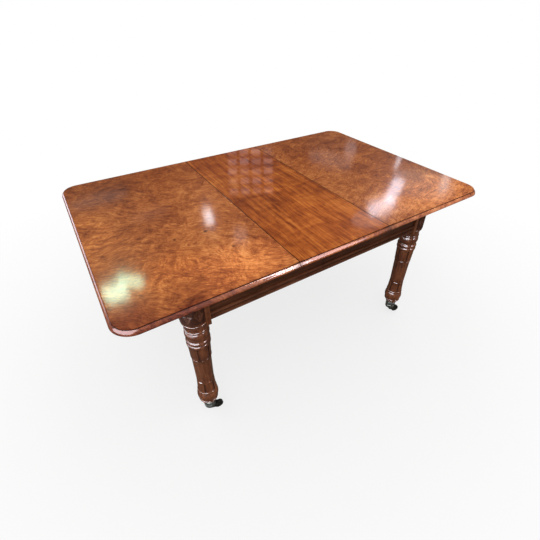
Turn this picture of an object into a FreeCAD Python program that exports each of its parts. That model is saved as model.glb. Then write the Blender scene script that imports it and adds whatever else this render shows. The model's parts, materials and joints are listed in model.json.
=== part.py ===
import FreeCAD, Part
import os
import re
import Sketcher

# Extending dining table with one loose leaf, lengths in millimetres, angles in degrees.
# The origin is on the floor under the middle of the table, with X along its length, Y across and
# Z up. It stands drawn out with its leaf in: a left half, a right half that slides along X, a leaf
# with its own rails between them, a winding screw and four castors.

SIZES = {
    # the top
    "table_height": 730.0,
    "table_width": 1000.0,
    "end_length": 576.0,
    "leaf_length": 406.0,
    "top_thickness": 22.0,
    "corner_radius": 68.0,
    "seam_play": 0.3,
    # moulded edge of the top: a step, a convex thumb down to the lip, then an undercut
    "step_inset": 9.0,
    "step_depth": 2.7,
    "lip_drop": 17.0,
    "lip_undercut": 5.0,
    # dowels that line up the leaf
    "dowel_radius": 5.0,
    "dowel_depth": 20.0,
    "dowel_spacing": 620.0,
    "dowel_drop": 11.0,
    "dowel_play": 0.3,
    # legs, measured from the edges of the top to the leg's axis
    "leg_inset_end": 245.0,
    "leg_inset_side": 131.5,
    "leg_radius": 48.0,
    "leg_shoulder": 42.0,
    "drum_length": 150.0,
    "flat_radius": 33.6,
    "flat_taper": 2.7,
    "lappet_core": 36.4,
    "lappet_slit": 3.2,
    "foot_lappet_core": 32.6,
    "tenon_radius": 21.0,
    # rails under the top, and the corner strips beside the legs
    "rail_outset": 36.0,
    "rail_thickness": 22.0,
    "rail_depth": 152.0,
    "bead_radius": 6.0,
    "bead_gap": 8.0,
    "cove_depth": 3.0,
    "quirk_depth": 2.0,
    "strip_width": 18.0,
    "strip_outset": 43.0,
    "strip_length": 168.0,
    # slides that carry the leaf, each with a tongue or a groove
    "slide_thickness": 26.0,
    "slide_depth": 60.0,
    "slide_play": 0.5,
    "slide_end_play": 3.0,
    "tongue_height": 12.0,
    "tongue_depth": 9.0,
    "tongue_play": 0.3,
    # cross rails, winding screw and nut
    "cross_thickness": 22.0,
    "cross_depth": 68.0,
    "cross_end_play": 3.0,
    "screw_radius": 10.0,
    "screw_drop": 43.0,
    "screw_reach": 73.0,
    "screw_play": 0.05,
    "tang_width": 12.0,
    "tang_length": 14.0,
    "collar_radius": 18.0,
    "collar_width": 10.0,
    "collar_play": 0.5,
    "nut_place": 45.0,
    "nut_radius": 15.0,
    "nut_flange_radius": 24.0,
    "nut_flange": 5.0,
    "plate_radius": 26.0,
    "plate_hole": 14.0,
    "plate_thickness": 4.0,
    # castors: a cup on the leg, a horn that swivels and a wheel on its axle
    "cup_base": 45.0,
    "cup_floor": 7.0,
    "cup_height": 43.0,
    "cup_radius": 26.0,
    "cup_taper": 3.0,
    "cup_bead": 2.0,
    "pivot_radius": 5.0,
    "pivot_length": 24.0,
    "pivot_play": 0.05,
    "pivot_end_play": 1.0,
    "horn_play": 0.3,
    "horn_plate_radius": 16.0,
    "horn_plate_thickness": 5.0,
    "horn_web": 14.0,
    "horn_eye": 8.0,
    "cheek_thickness": 3.0,
    "wheel_radius": 19.0,
    "wheel_width": 14.0,
    "wheel_edge": 3.0,
    "wheel_side_play": 0.5,
    "wheel_trail": 35.0,
    "axle_radius": 3.0,
    "axle_play": 0.05,
    "axle_head": 1.0,
    # how far a cutting shape runs past what it cuts
    "overrun": 3.0,
}

# Places that several pieces share, written in those sizes
SEAM_X = "(leaf_length / 2)"
END_X = f"({SEAM_X} + end_length)"
SIDE_Y = "(table_width / 2)"
UNDER_Z = "(table_height - top_thickness)"
LEG_X = f"({END_X} - leg_inset_end)"
LEG_Y = f"({SIDE_Y} - leg_inset_side)"
SHOULDER_X = f"({LEG_X} - leg_shoulder)"
SHOULDER_Y = f"({LEG_Y} - leg_shoulder)"
RAIL_X = f"({LEG_X} + rail_outset)"
RAIL_Y = f"({LEG_Y} + rail_outset)"
SLIDE_X = f"({LEG_X} - leg_radius - slide_end_play)"
SLIDE_LENGTH = f"(2 * {SLIDE_X} - leaf_length)"
OUTER_SLIDE_Y = f"({RAIL_Y} - rail_thickness - slide_play)"
INNER_SLIDE_Y = f"({OUTER_SLIDE_Y} - slide_thickness - slide_play)"
SLIDE_INSIDE_Y = f"({INNER_SLIDE_Y} - slide_thickness)"
SCREW_Z = f"({UNDER_Z} - screw_drop)"
CUP_TOP = "(cup_base + cup_height)"
HORN_TOP = "(cup_base - horn_play)"
FORK_WIDTH = "(wheel_width + 2 * wheel_side_play + 2 * cheek_thickness)"

# The turned leg between the top of its castor cup and the underside of the top: shares of the
# leg's radius and of that height. Four numbers are an arc to the first two by way of the last two.
turning_shares = [
    (0.542, 0.000),
    (0.688, 0.024),
    (0.708, 0.027),
    (0.750, 0.040, 0.792, 0.033),
    (0.745, 0.043),
    (0.740, 0.116, 0.865, 0.077),
    (0.730, 0.120),
    (0.745, 0.135, 0.792, 0.1275),
    (0.765, 0.137),
    (0.729, 0.164),
    (0.698, 0.228),
    (0.688, 0.230),
    (0.745, 0.446),
    (0.775, 0.449),
    (0.833, 0.560),
    (0.823, 0.586, 0.896, 0.573),
    (0.823, 0.614, 0.896, 0.600),
    (0.800, 0.622),
    (0.812, 0.629),
    (0.812, 0.682, 0.906, 0.6555),
    (0.823, 0.686),
    (0.823, 0.698, 0.875, 0.692),
    (0.833, 0.702),
    (0.906, 0.742, 0.848, 0.727),
    (0.927, 0.744),
    (0.927, 0.753, 0.969, 0.7485),
    (0.945, 0.757),
]

# Where the collars of lappets begin and end, as shares of the same height
lappet_shares = {"foot_low": 0.137, "foot_high": 0.228, "low": 0.449, "high": 0.556}

# The chip between two lappets: half its width at the open end as a share of the leg's radius, and
# shares of the lappet's length for the part that flares and for how far the chip runs past the tip
chip_width_share = 0.30
flare_share = 0.30
past_share = 0.06
# Where the middle of the flared edge lies: shares of the chip's half width and of the flare
flare_middle_shares = (0.36, 0.40)

# Where the six-sided part of the shaft begins and ends, as shares of the same height
shaft_shares = (0.230, 0.446)

# The thumb's middle point: shares of its width in from the lip and of its height down
thumb_shares = (0.293, 0.400)

# How far in from the corner a round corner's middle lies, as a share of its radius
corner_share = 0.2929

# The fork's outline: shares of the horn plate's radius behind the pivot, then pairs of shares of
# the eye's radius about the axle
fork_back_shares = (0.8, 0.3)
eye_shares = {"low": (-0.5, -0.866), "round": (0.906, -0.423), "high": (0.643, 0.766)}

# The angle that each castor trails at when the table stands, about the leg's axis
trail_angles = {
    "left_front": -4.0,
    "left_back": 24.0,
    "right_front": -18.0,
    "right_back": 7.0,
}

SIDES = {"left": -1, "right": 1}
FACES = {"front": -1, "back": 1}
LAPPETS = 6

document = FreeCAD.newDocument("table")
sheet = document.addObject("Spreadsheet::Sheet", "dims")
for row, (alias, value) in enumerate(SIZES.items(), 1):
    sheet.set(f"A{row}", alias)
    sheet.set(f"B{row}", str(value))
    sheet.setAlias(f"B{row}", alias)
document.recompute()

ALIASES = re.compile(r"\b(" + "|".join(SIZES) + r")\b")
X_AXIS = FreeCAD.Vector(1, 0, 0)
Y_AXIS = FreeCAD.Vector(0, 1, 0)
Z_AXIS = FreeCAD.Vector(0, 0, 1)

pieces = []


# Turns a formula in the names above into one that reads the sheet
def in_sheet(text):
    return ALIASES.sub(r"dims.\1", str(text))


def bind(thing, **formulas):
    for name, text in formulas.items():
        thing.setExpression(name, in_sheet(text))


def measure(text):
    return sheet.evalExpression(str(text))


def place(thing, x=0, y=0, z=0, rotation=None):
    if rotation:
        thing.Placement = FreeCAD.Placement(FreeCAD.Vector(), rotation)
    for axis, text in zip("xyz", (x, y, z)):
        thing.setExpression(f"Placement.Base.{axis}", in_sheet(text))
    return thing


def finished(thing, label):
    thing.Label = label
    pieces.append(thing)
    return thing


def turned_about_z(angle):
    return FreeCAD.Rotation(Z_AXIS, angle)


def box(name, x, y, z):
    piece = document.addObject("Part::Box", name)
    for name, (low, high) in (("Length", x), ("Width", y), ("Height", z)):
        piece.setExpression(name, in_sheet(f"({high}) - ({low})"))
    return place(piece, x[0], y[0], z[0])


def cylinder(name, radius, height, x=0, y=0, z=0, rotation=None):
    piece = document.addObject("Part::Cylinder", name)
    bind(piece, Radius=radius, Height=height)
    return place(piece, x, y, z, rotation)


def cut(name, base, tools):
    result = base
    for count, tool in enumerate(tools):
        step = document.addObject("Part::Cut", f"{name}_cut_{count}")
        step.Base = result
        step.Tool = tool
        result = step
    return result


def new_body(name):
    return document.addObject("PartDesign::Body", name)


# A sketch on one of the body's own planes, moved along that plane's normal
def new_sketch(body, name, role, offset=0, turn=0):
    sketch = body.newObject("Sketcher::SketchObject", name)
    plane = next(item for item in body.Origin.OriginFeatures if item.Role == role)
    sketch.AttachmentSupport = [(plane, "")]
    sketch.MapMode = "FlatFace"
    if turn:
        sketch.AttachmentOffset = FreeCAD.Placement(
            FreeCAD.Vector(), FreeCAD.Rotation(Y_AXIS, turn)
        )
    sketch.setExpression("AttachmentOffset.Base.z", in_sheet(offset))
    return sketch


def fix_point(sketch, edge, end, u, v):
    for kind, text in (("DistanceX", u), ("DistanceY", v)):
        value = float(measure(text))
        index = sketch.addConstraint(Sketcher.Constraint(kind, -1, 1, edge, end, value))
        sketch.setExpression(f"Constraints[{index}]", in_sheet(text))


# Draws straight edges and arcs from point to point. A point is (u, v), or (u, v, via_u, via_v)
# where an arc ends. A closed outline comes back to its first point along a straight edge.
def draw(sketch, outline, closed=True):
    corners = [FreeCAD.Vector(measure(p[0]), measure(p[1]), 0) for p in outline]
    ends = []
    for index, point in enumerate(outline):
        if index == 0 and not closed:
            continue
        start = corners[index - 1]
        end = corners[index]
        if len(point) == 2:
            edge = sketch.addGeometry(Part.LineSegment(start, end), False)
            ends.append((edge, 1, 2, index))
            continue
        via = FreeCAD.Vector(measure(point[2]), measure(point[3]), 0)
        edge = sketch.addGeometry(Part.ArcOfCircle(start, via, end), False)
        leftward = (via - start).cross(end - start).z > 0
        ends.append((edge, 1, 2, index) if leftward else (edge, 2, 1, index))
        middle = sketch.addGeometry(Part.Point(via), True)
        fix_point(sketch, middle, 1, point[2], point[3])
        sketch.addConstraint(Sketcher.Constraint("PointOnObject", middle, 1, edge))
    for (edge, _, last, index), (following, first, _, _) in zip(ends, ends[1:]):
        sketch.addConstraint(Sketcher.Constraint("Coincident", edge, last, following, first))
    if closed:
        edge, _, last, _ = ends[-1]
        sketch.addConstraint(Sketcher.Constraint("Coincident", edge, last, ends[0][0], ends[0][1]))
    else:
        fix_point(sketch, ends[0][0], ends[0][1], *outline[0][:2])
    for edge, _, last, index in ends:
        fix_point(sketch, edge, last, *outline[index][:2])


def draw_circle(sketch, u, v, radius):
    centre = FreeCAD.Vector(measure(u), measure(v), 0)
    edge = sketch.addGeometry(Part.Circle(centre, Z_AXIS, measure(radius)), False)
    fix_point(sketch, edge, 3, u, v)
    index = sketch.addConstraint(Sketcher.Constraint("Radius", edge, float(measure(radius))))
    sketch.setExpression(f"Constraints[{index}]", in_sheet(radius))


def pad(body, name, sketch, length, centred=False):
    feature = body.newObject("PartDesign::Pad", name)
    feature.Profile = sketch
    bind(feature, Length=length)
    if centred:
        feature.SideType = "Symmetric"
    return feature


# A pocket must take something away, or it points the wrong way
def pocket(body, name, sketch, length, reverse=False, centred=False):
    document.recompute()
    before = body.Shape.Volume
    feature = body.newObject("PartDesign::Pocket", name)
    feature.Profile = sketch
    feature.Reversed = reverse
    bind(feature, Length=length)
    if centred:
        feature.SideType = "Symmetric"
    document.recompute()
    if not body.Shape.Volume < before:
        raise RuntimeError(f"{name} cuts nothing")
    return feature


def revolve(body, name, sketch):
    feature = body.newObject("PartDesign::Revolution", name)
    feature.Profile = sketch
    feature.ReferenceAxis = (sketch, ["V_Axis"])
    feature.Angle = 360.0
    return feature


# Points of the moulded edge, from the top's face round the lip to its underside. The first number
# is the distance in from the lip, and side is -1 or 1 for the way that the lip faces.
def moulding(side, lip):
    def across(inset):
        return f"{side} * ({lip} - {inset})"

    step = "table_height - step_depth"
    return [
        (across("step_inset"), "table_height"),
        (across("step_inset"), step),
        (
            across(0),
            "table_height - lip_drop",
            across(f"step_inset * {thumb_shares[0]}"),
            f"{step} - (lip_drop - step_depth) * {thumb_shares[1]}",
        ),
        (across("lip_undercut"), UNDER_Z),
    ]


# One end of the top: a slab with two round corners, its edge moulded on three sides
def end_top(side, turn):
    label = f"top_{side}"
    body = new_body(label)
    slab = new_sketch(body, f"{label}_outline", "XY_Plane", UNDER_Z)
    low_x = f"-1 * {END_X}"
    bend_x = f"-1 * ({END_X} - corner_radius)"
    bend_y = f"({SIDE_Y} - corner_radius)"
    via_x = f"-1 * ({END_X} - corner_radius * {corner_share})"
    via_y = f"({SIDE_Y} - corner_radius * {corner_share})"
    seam = f"-1 * {SEAM_X}"
    rounded = [
        (bend_x, f"-1 * {SIDE_Y}"),
        (low_x, f"-1 * {bend_y}", via_x, f"-1 * {via_y}"),
        (low_x, bend_y),
        (bend_x, SIDE_Y, via_x, via_y),
    ]
    draw(slab, [(seam, f"-1 * {SIDE_Y}"), *rounded, (seam, SIDE_Y)])
    pad(body, f"{label}_slab", slab, "top_thickness")
    document.recompute()
    before = body.Shape.Volume

    path = new_sketch(body, f"{label}_path", "XY_Plane", "table_height")
    past_seam = f"-1 * {SEAM_X} + overrun"
    draw(
        path,
        [(past_seam, f"-1 * {SIDE_Y}"), *rounded, (past_seam, SIDE_Y)],
        closed=False,
    )
    waste = new_sketch(body, f"{label}_waste", "YZ_Plane", past_seam)
    edge = moulding(-1, SIDE_Y)
    draw(
        waste,
        [
            (edge[0][0], "table_height + overrun"),
            *edge[1:],
            (edge[3][0], f"{UNDER_Z} - overrun"),
            (f"-1 * ({SIDE_Y} + overrun)", f"{UNDER_Z} - overrun"),
            (f"-1 * ({SIDE_Y} + overrun)", "table_height + overrun"),
        ],
    )
    document.recompute()
    sweep = body.newObject("PartDesign::SubtractivePipe", f"{label}_moulding")
    sweep.Profile = waste
    sweep.Spine = (path, [f"Edge{count}" for count in range(1, 6)])
    document.recompute()
    if not body.Shape.Volume < before:
        raise RuntimeError(f"{label} has no moulding")

    holes = new_sketch(body, f"{label}_dowel_holes", "YZ_Plane", seam)
    for face in FACES.values():
        draw_circle(holes, f"{face} * dowel_spacing / 2", "table_height - dowel_drop",
                    "dowel_radius + dowel_play")
    pocket(body, f"{label}_holes", holes, "dowel_depth + dowel_play")
    place(body, rotation=turned_about_z(turn))
    return finished(body, label)


# The leaf, moulded along both sides and holed for its dowels
def leaf_board():
    body = new_body("leaf_board")
    start = f"seam_play - {SEAM_X}"
    length = "leaf_length - 2 * seam_play"
    section = new_sketch(body, "leaf_section", "YZ_Plane", start)
    front = moulding(-1, SIDE_Y)
    back = moulding(1, SIDE_Y)
    # the back edge runs the other way round, so each arc ends where it began
    thumb = back[2]
    draw(
        section,
        [
            *front,
            back[3],
            (thumb[0], thumb[1]),
            (back[1][0], back[1][1], thumb[2], thumb[3]),
            back[0],
        ],
    )
    pad(body, "leaf_slab", section, length)
    for name, offset, reverse in (
        ("left", start, True),
        ("right", f"{SEAM_X} - seam_play", False),
    ):
        holes = new_sketch(body, f"leaf_holes_{name}", "YZ_Plane", offset)
        for face in FACES.values():
            draw_circle(holes, f"{face} * dowel_spacing / 2", "table_height - dowel_drop",
                        "dowel_radius")
        pocket(body, f"leaf_bores_{name}", holes, "dowel_depth", reverse=reverse)
    return finished(body, "leaf_board")


# A dowel lies half in the leaf and half in a hole of the end that it meets
def dowel(side, face):
    sign = SIDES[side]
    start = f"{sign} * ({SEAM_X} - seam_play) - dowel_depth"
    piece = cylinder(
        f"dowel_{side}_{face}", "dowel_radius", "2 * dowel_depth",
        start, f"{FACES[face]} * dowel_spacing / 2", "table_height - dowel_drop",
        FreeCAD.Rotation(Y_AXIS, 90),
    )
    return finished(piece, f"dowel_{side}_{face}")


# A rail's section stands on its outer face: a plain face above, then a quirk, a bead, a cove and
# a bead along the bottom
def rail_body(name, length):
    body = new_body(f"{name}_run")
    section = new_sketch(body, f"{name}_section", "YZ_Plane")
    low = f"({UNDER_Z} - rail_depth)"
    second = f"({low} + 2 * bead_radius)"
    third = f"({second} + bead_gap)"
    fourth = f"({third} + 2 * bead_radius)"
    draw(
        section,
        [
            ("rail_thickness", low),
            ("rail_thickness", UNDER_Z),
            (0, UNDER_Z),
            (0, f"{fourth} + quirk_depth"),
            ("quirk_depth", f"{fourth} + quirk_depth"),
            ("quirk_depth", fourth),
            (0, fourth),
            (0, third, "-1 * bead_radius", f"{third} + bead_radius"),
            (0, second, "cove_depth", f"{second} + bead_gap / 2"),
            (0, low, "-1 * bead_radius", f"{low} + bead_radius"),
        ],
    )
    pad(body, f"{name}_length", section, length)
    return body


# The round of a leg's top, cut out of what is scribed to it
def drum(name, x, y):
    low = f"{UNDER_Z} - strip_length - overrun"
    return cylinder(name, "leg_radius", "strip_length + 2 * overrun", x, y, low)


# Side rail of one half, from the leg's shoulder to the seam, scribed to the round of the leg
def side_rail(side, face):
    label = f"rail_{side}_{face}"
    body = rail_body(label, f"{SHOULDER_X} - {SEAM_X}")
    # turned half round for the back, the run starts from its other end
    starts_at_seam = (side == "left") == (face == "back")
    near = SEAM_X if starts_at_seam else SHOULDER_X
    place(
        body,
        f"{SIDES[side]} * {near}",
        f"{FACES[face]} * {RAIL_Y}",
        rotation=turned_about_z(180 if face == "back" else 0),
    )
    scribe = drum(f"{label}_leg", f"{SIDES[side]} * {LEG_X}", f"{FACES[face]} * {LEG_Y}")
    return finished(cut(label, body, [scribe]), label)


# End rail of one half, between its two legs
def end_rail(side):
    label = f"end_rail_{side}"
    body = rail_body(label, f"2 * {SHOULDER_Y}")
    sign = SIDES[side]
    place(
        body,
        f"{sign} * {RAIL_X}",
        f"{-sign} * {SHOULDER_Y}",
        rotation=turned_about_z(90 * sign),
    )
    tools = [
        drum(f"{label}_leg_{face}", f"{sign} * {LEG_X}", f"{FACES[face]} * {LEG_Y}")
        for face in FACES
    ]
    if side == "left":
        tools.append(
            cylinder(
                f"{label}_bearing", "screw_radius + screw_play",
                "rail_thickness + bead_radius + 2 * overrun",
                f"-1 * {RAIL_X} - bead_radius - overrun", 0, SCREW_Z,
                FreeCAD.Rotation(Y_AXIS, 90),
            )
        )
    return finished(cut(label, body, tools), label)


# Rail fixed under the leaf, which carries the line of the side rails over the gap
def leaf_rail(face):
    label = f"rail_leaf_{face}"
    body = rail_body(label, "leaf_length - 2 * seam_play")
    sign = FACES[face]
    place(
        body,
        f"{sign} * ({SEAM_X} - seam_play)",
        f"{sign} * {RAIL_Y}",
        rotation=turned_about_z(180 if face == "back" else 0),
    )
    return finished(body, label)


# Flat strips that close the corner between a leg and the two rails that meet it
def corner_strips(side, face):
    across = SIDES[side]
    along = FACES[face]
    heights = (f"({UNDER_Z} - strip_length)", UNDER_Z)

    def span(sign, near, far):
        low, high = (near, far) if sign > 0 else (far, near)
        return f"{sign} * ({low})", f"{sign} * ({high})"

    lengthwise = box(
        f"strip_{side}_{face}_block",
        span(across, SHOULDER_X, f"{SHOULDER_X} + strip_width"),
        span(along, f"{RAIL_Y} - rail_thickness", f"{LEG_Y} + strip_outset"),
        heights,
    )
    crosswise = box(
        f"end_strip_{side}_{face}_block",
        span(across, f"{RAIL_X} - rail_thickness", f"{LEG_X} + strip_outset"),
        span(along, SHOULDER_Y, f"{SHOULDER_Y} + strip_width"),
        heights,
    )
    for block, kind in ((lengthwise, "strip"), (crosswise, "end_strip")):
        label = f"{kind}_{side}_{face}"
        scribe = drum(f"{label}_leg", f"{across} * {LEG_X}", f"{along} * {LEG_Y}")
        finished(cut(label, block, [scribe]), label)


# Turned leg with two collars of six lappets and a six-sided shaft between them
def turned_leg(side, face):
    label = f"leg_{side}_{face}"
    body = new_body(label)
    height = f"({UNDER_Z} - {CUP_TOP})"

    def level(share):
        return f"({CUP_TOP} + {height} * {share})"

    profile = new_sketch(body, f"{label}_profile", "XZ_Plane")
    bore_top = f"{HORN_TOP} + pivot_length + pivot_end_play"
    tenon_low = "cup_base + cup_floor"
    bore = "(pivot_radius + pivot_play)"
    turned = []
    for share in turning_shares:
        point = [f"leg_radius * {share[0]}", level(share[1])]
        if len(share) == 4:
            point += [f"leg_radius * {share[2]}", level(share[3])]
        turned.append(tuple(point))
    drum_low = f"{UNDER_Z} - drum_length"
    draw(
        profile,
        [
            (0, UNDER_Z),
            (0, bore_top),
            (bore, bore_top),
            (bore, tenon_low),
            ("tenon_radius", tenon_low),
            ("tenon_radius", CUP_TOP),
            *turned,
            ("leg_radius", drum_low),
            ("leg_radius", UNDER_Z),
        ],
    )
    revolve(body, f"{label}_turning", profile)
    document.recompute()

    wide = f"leg_radius * {chip_width_share}"
    chips = []
    for name, core, low, high, point_up in (
        ("collar", "lappet_core", "low", "high", False),
        ("foot_collar", "foot_lappet_core", "foot_low", "foot_high", True),
    ):
        bottom = level(lappet_shares[low])
        top = level(lappet_shares[high])
        tip, root = (top, bottom) if point_up else (bottom, top)
        tall = f"(({root}) - ({tip}))"
        flare = f"({tip} + {tall} * {flare_share})"
        past = f"{tip} - {tall} * {past_share}"
        bulge_u = f"{wide} * {flare_middle_shares[0]}"
        bulge_v = f"{tip} + {tall} * {flare_share} * {flare_middle_shares[1]}"
        sketch = new_sketch(body, f"{label}_{name}_chip", "YZ_Plane", core)
        draw(
            sketch,
            [
                ("lappet_slit / 2", root),
                ("-1 * lappet_slit / 2", root),
                ("-1 * lappet_slit / 2", flare),
                (f"-1 * {wide}", tip, f"-1 * {bulge_u}", bulge_v),
                (f"-1 * {wide}", past),
                (wide, past),
                (wide, tip),
                ("lappet_slit / 2", flare, bulge_u, bulge_v),
            ],
        )
        chips.append(pocket(body, f"{label}_{name}", sketch, f"leg_radius - {core}", reverse=True))

    flat_low, flat_high = (level(share) for share in shaft_shares)
    flat = new_sketch(body, f"{label}_flat", "XZ_Plane", turn=180 / LAPPETS)
    draw(
        flat,
        [
            ("flat_radius - flat_taper", flat_low),
            ("leg_radius", flat_low),
            ("leg_radius", flat_high),
            ("flat_radius", flat_high),
        ],
    )
    chips.append(pocket(body, f"{label}_flats", flat, "2 * leg_radius", centred=True))

    ring = body.newObject("PartDesign::PolarPattern", f"{label}_ring")
    ring.Originals = chips
    ring.Axis = (profile, ["V_Axis"])
    ring.Angle = 360
    ring.Occurrences = LAPPETS
    body.Tip = ring
    place(body, f"{SIDES[side]} * {LEG_X}", f"{FACES[face]} * {LEG_Y}")
    return finished(body, label)



# A slide runs under the top from beside its own legs. The left ones lie outside and are grooved,
# and the right ones lie inside and carry the tongue.
def slide(side, face):
    label = f"slide_{side}_{face}"
    body = new_body(label)
    section = new_sketch(body, f"{label}_section", "YZ_Plane")
    low = f"({UNDER_Z} - slide_depth)"
    middle = f"({UNDER_Z} - slide_depth / 2)"
    inner = "slide_thickness"
    if side == "left":
        reach = "slide_thickness - tongue_depth - tongue_play"
        half = "(tongue_height / 2 + tongue_play)"
        outline = [
            (0, low),
            (inner, low),
            (inner, f"{middle} - {half}"),
            (reach, f"{middle} - {half}"),
            (reach, f"{middle} + {half}"),
            (inner, f"{middle} + {half}"),
            (inner, UNDER_Z),
            (0, UNDER_Z),
        ]
    else:
        reach = "-1 * (tongue_depth + slide_play)"
        half = "tongue_height / 2"
        outline = [
            (0, low),
            (inner, low),
            (inner, UNDER_Z),
            (0, UNDER_Z),
            (0, f"{middle} + {half}"),
            (reach, f"{middle} + {half}"),
            (reach, f"{middle} - {half}"),
            (0, f"{middle} - {half}"),
        ]
    draw(section, outline)
    pad(body, f"{label}_length", section, SLIDE_LENGTH)
    outer = OUTER_SLIDE_Y if side == "left" else INNER_SLIDE_Y
    sign = SIDES[side]
    own_end = f"{sign} * {SLIDE_X}"
    far_end = f"{sign} * ({SLIDE_X} - {SLIDE_LENGTH})"
    # the run goes to +X at the front and, turned half round, to -X at the back
    runs_from_own_end = (side == "left") == (face == "front")
    place(
        body,
        own_end if runs_from_own_end else far_end,
        f"{FACES[face]} * {outer}",
        rotation=turned_about_z(180 if face == "back" else 0),
    )
    return finished(body, label)


# Cross rail behind the end rail. The left one steadies the winding screw.
def cross_rail(side):
    label = f"cross_rail_{side}"
    sign = SIDES[side]
    near = f"({SLIDE_X} + slide_play)"
    far = f"({near} + cross_thickness)"
    low, high = (near, far) if sign > 0 else (far, near)
    half = f"({SLIDE_INSIDE_Y} - cross_end_play)"
    block = box(
        f"{label}_block",
        (f"{sign} * {low}", f"{sign} * {high}"),
        (f"-1 * {half}", half),
        (f"({UNDER_Z} - cross_depth)", UNDER_Z),
    )
    if side == "right":
        return finished(block, label)
    hole = cylinder(
        f"{label}_hole", "screw_radius + screw_play", "cross_thickness + 2 * overrun",
        f"-1 * {far} - overrun", 0, SCREW_Z, FreeCAD.Rotation(Y_AXIS, 90),
    )
    return finished(cut(label, block, [hole]), label)


# Rail between the right half's slides, which carries the nut
def nut_rail():
    block = box(
        "nut_rail_block",
        ("nut_place - cross_thickness / 2", "nut_place + cross_thickness / 2"),
        (f"-1 * {SLIDE_INSIDE_Y}", SLIDE_INSIDE_Y),
        (f"({UNDER_Z} - cross_depth)", UNDER_Z),
    )
    hole = cylinder(
        "nut_rail_hole", "nut_radius", "cross_thickness + 2 * overrun",
        "nut_place - cross_thickness / 2 - overrun", 0, SCREW_Z, FreeCAD.Rotation(Y_AXIS, 90),
    )
    return finished(cut("nut_rail", block, [hole]), "nut_rail")


# Flanged nut, turned about the screw's axis
def nut():
    body = new_body("screw_nut")
    section = new_sketch(body, "nut_section", "XZ_Plane")
    bore = "(screw_radius + screw_play)"
    draw(
        section,
        [
            (bore, "-1 * nut_flange"),
            ("nut_flange_radius", "-1 * nut_flange"),
            ("nut_flange_radius", 0),
            ("nut_radius", 0),
            ("nut_radius", "cross_thickness"),
            (bore, "cross_thickness"),
        ],
    )
    revolve(body, "nut_turning", section)
    place(body, "nut_place - cross_thickness / 2", 0, SCREW_Z, FreeCAD.Rotation(Y_AXIS, 90))
    return finished(body, "screw_nut")


# Winding screw with a thrust collar inside the end rail and a square tang for the crank outside
def screw():
    body = new_body("winding_screw")
    section = new_sketch(body, "screw_section", "XZ_Plane")
    collar_start = "(rail_thickness + collar_play)"
    collar_end = f"({collar_start} + collar_width)"
    draw(
        section,
        [
            (0, 0),
            ("screw_radius", 0),
            ("screw_radius", collar_start),
            ("collar_radius", collar_start),
            ("collar_radius", collar_end),
            ("screw_radius", collar_end),
            ("screw_radius", f"{RAIL_X} + screw_reach"),
            (0, f"{RAIL_X} + screw_reach"),
        ],
    )
    revolve(body, "screw_turning", section)
    tang = new_sketch(body, "screw_tang", "XY_Plane", "-1 * tang_length")
    half = "tang_width / 2"
    draw(
        tang,
        [
            (f"-1 * {half}", f"-1 * {half}"),
            (half, f"-1 * {half}"),
            (half, half),
            (f"-1 * {half}", half),
        ],
    )
    pad(body, "screw_square", tang, "tang_length")
    place(body, f"-1 * {RAIL_X}", 0, SCREW_Z, FreeCAD.Rotation(Y_AXIS, 90))
    return finished(body, "winding_screw")


# Round plate about the crank hole
def crank_plate():
    body = new_body("crank_plate")
    section = new_sketch(body, "plate_section", "XZ_Plane")
    draw(
        section,
        [
            ("plate_hole", 0),
            ("plate_radius", 0),
            ("plate_radius", "plate_thickness / 2"),
            ("plate_radius - plate_thickness / 2", "plate_thickness"),
            ("plate_hole", "plate_thickness"),
        ],
    )
    revolve(body, "plate_turning", section)
    place(body, f"-1 * {RAIL_X}", 0, SCREW_Z, FreeCAD.Rotation(Y_AXIS, -90))
    return finished(body, "crank_plate")


# Cup that the foot of the leg stands in
def castor_cup(corner, x, y):
    label = f"cup_{corner}"
    body = new_body(label)
    section = new_sketch(body, f"{label}_section", "XZ_Plane")
    bore = "(pivot_radius + pivot_play)"
    floor = "(cup_base + cup_floor)"
    rim = f"({CUP_TOP} - 2 * cup_bead)"
    draw(
        section,
        [
            (bore, "cup_base"),
            ("cup_radius - cup_taper - cup_bead", "cup_base"),
            ("cup_radius - cup_taper", "cup_base + cup_bead"),
            ("cup_radius - cup_bead / 2", rim),
            ("cup_radius - cup_bead / 2", CUP_TOP, "cup_radius + cup_bead / 2",
             f"{CUP_TOP} - cup_bead"),
            ("tenon_radius", CUP_TOP),
            ("tenon_radius", floor),
            (bore, floor),
        ],
    )
    revolve(body, f"{label}_turning", section)
    place(body, x, y)
    return finished(body, label)


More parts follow.
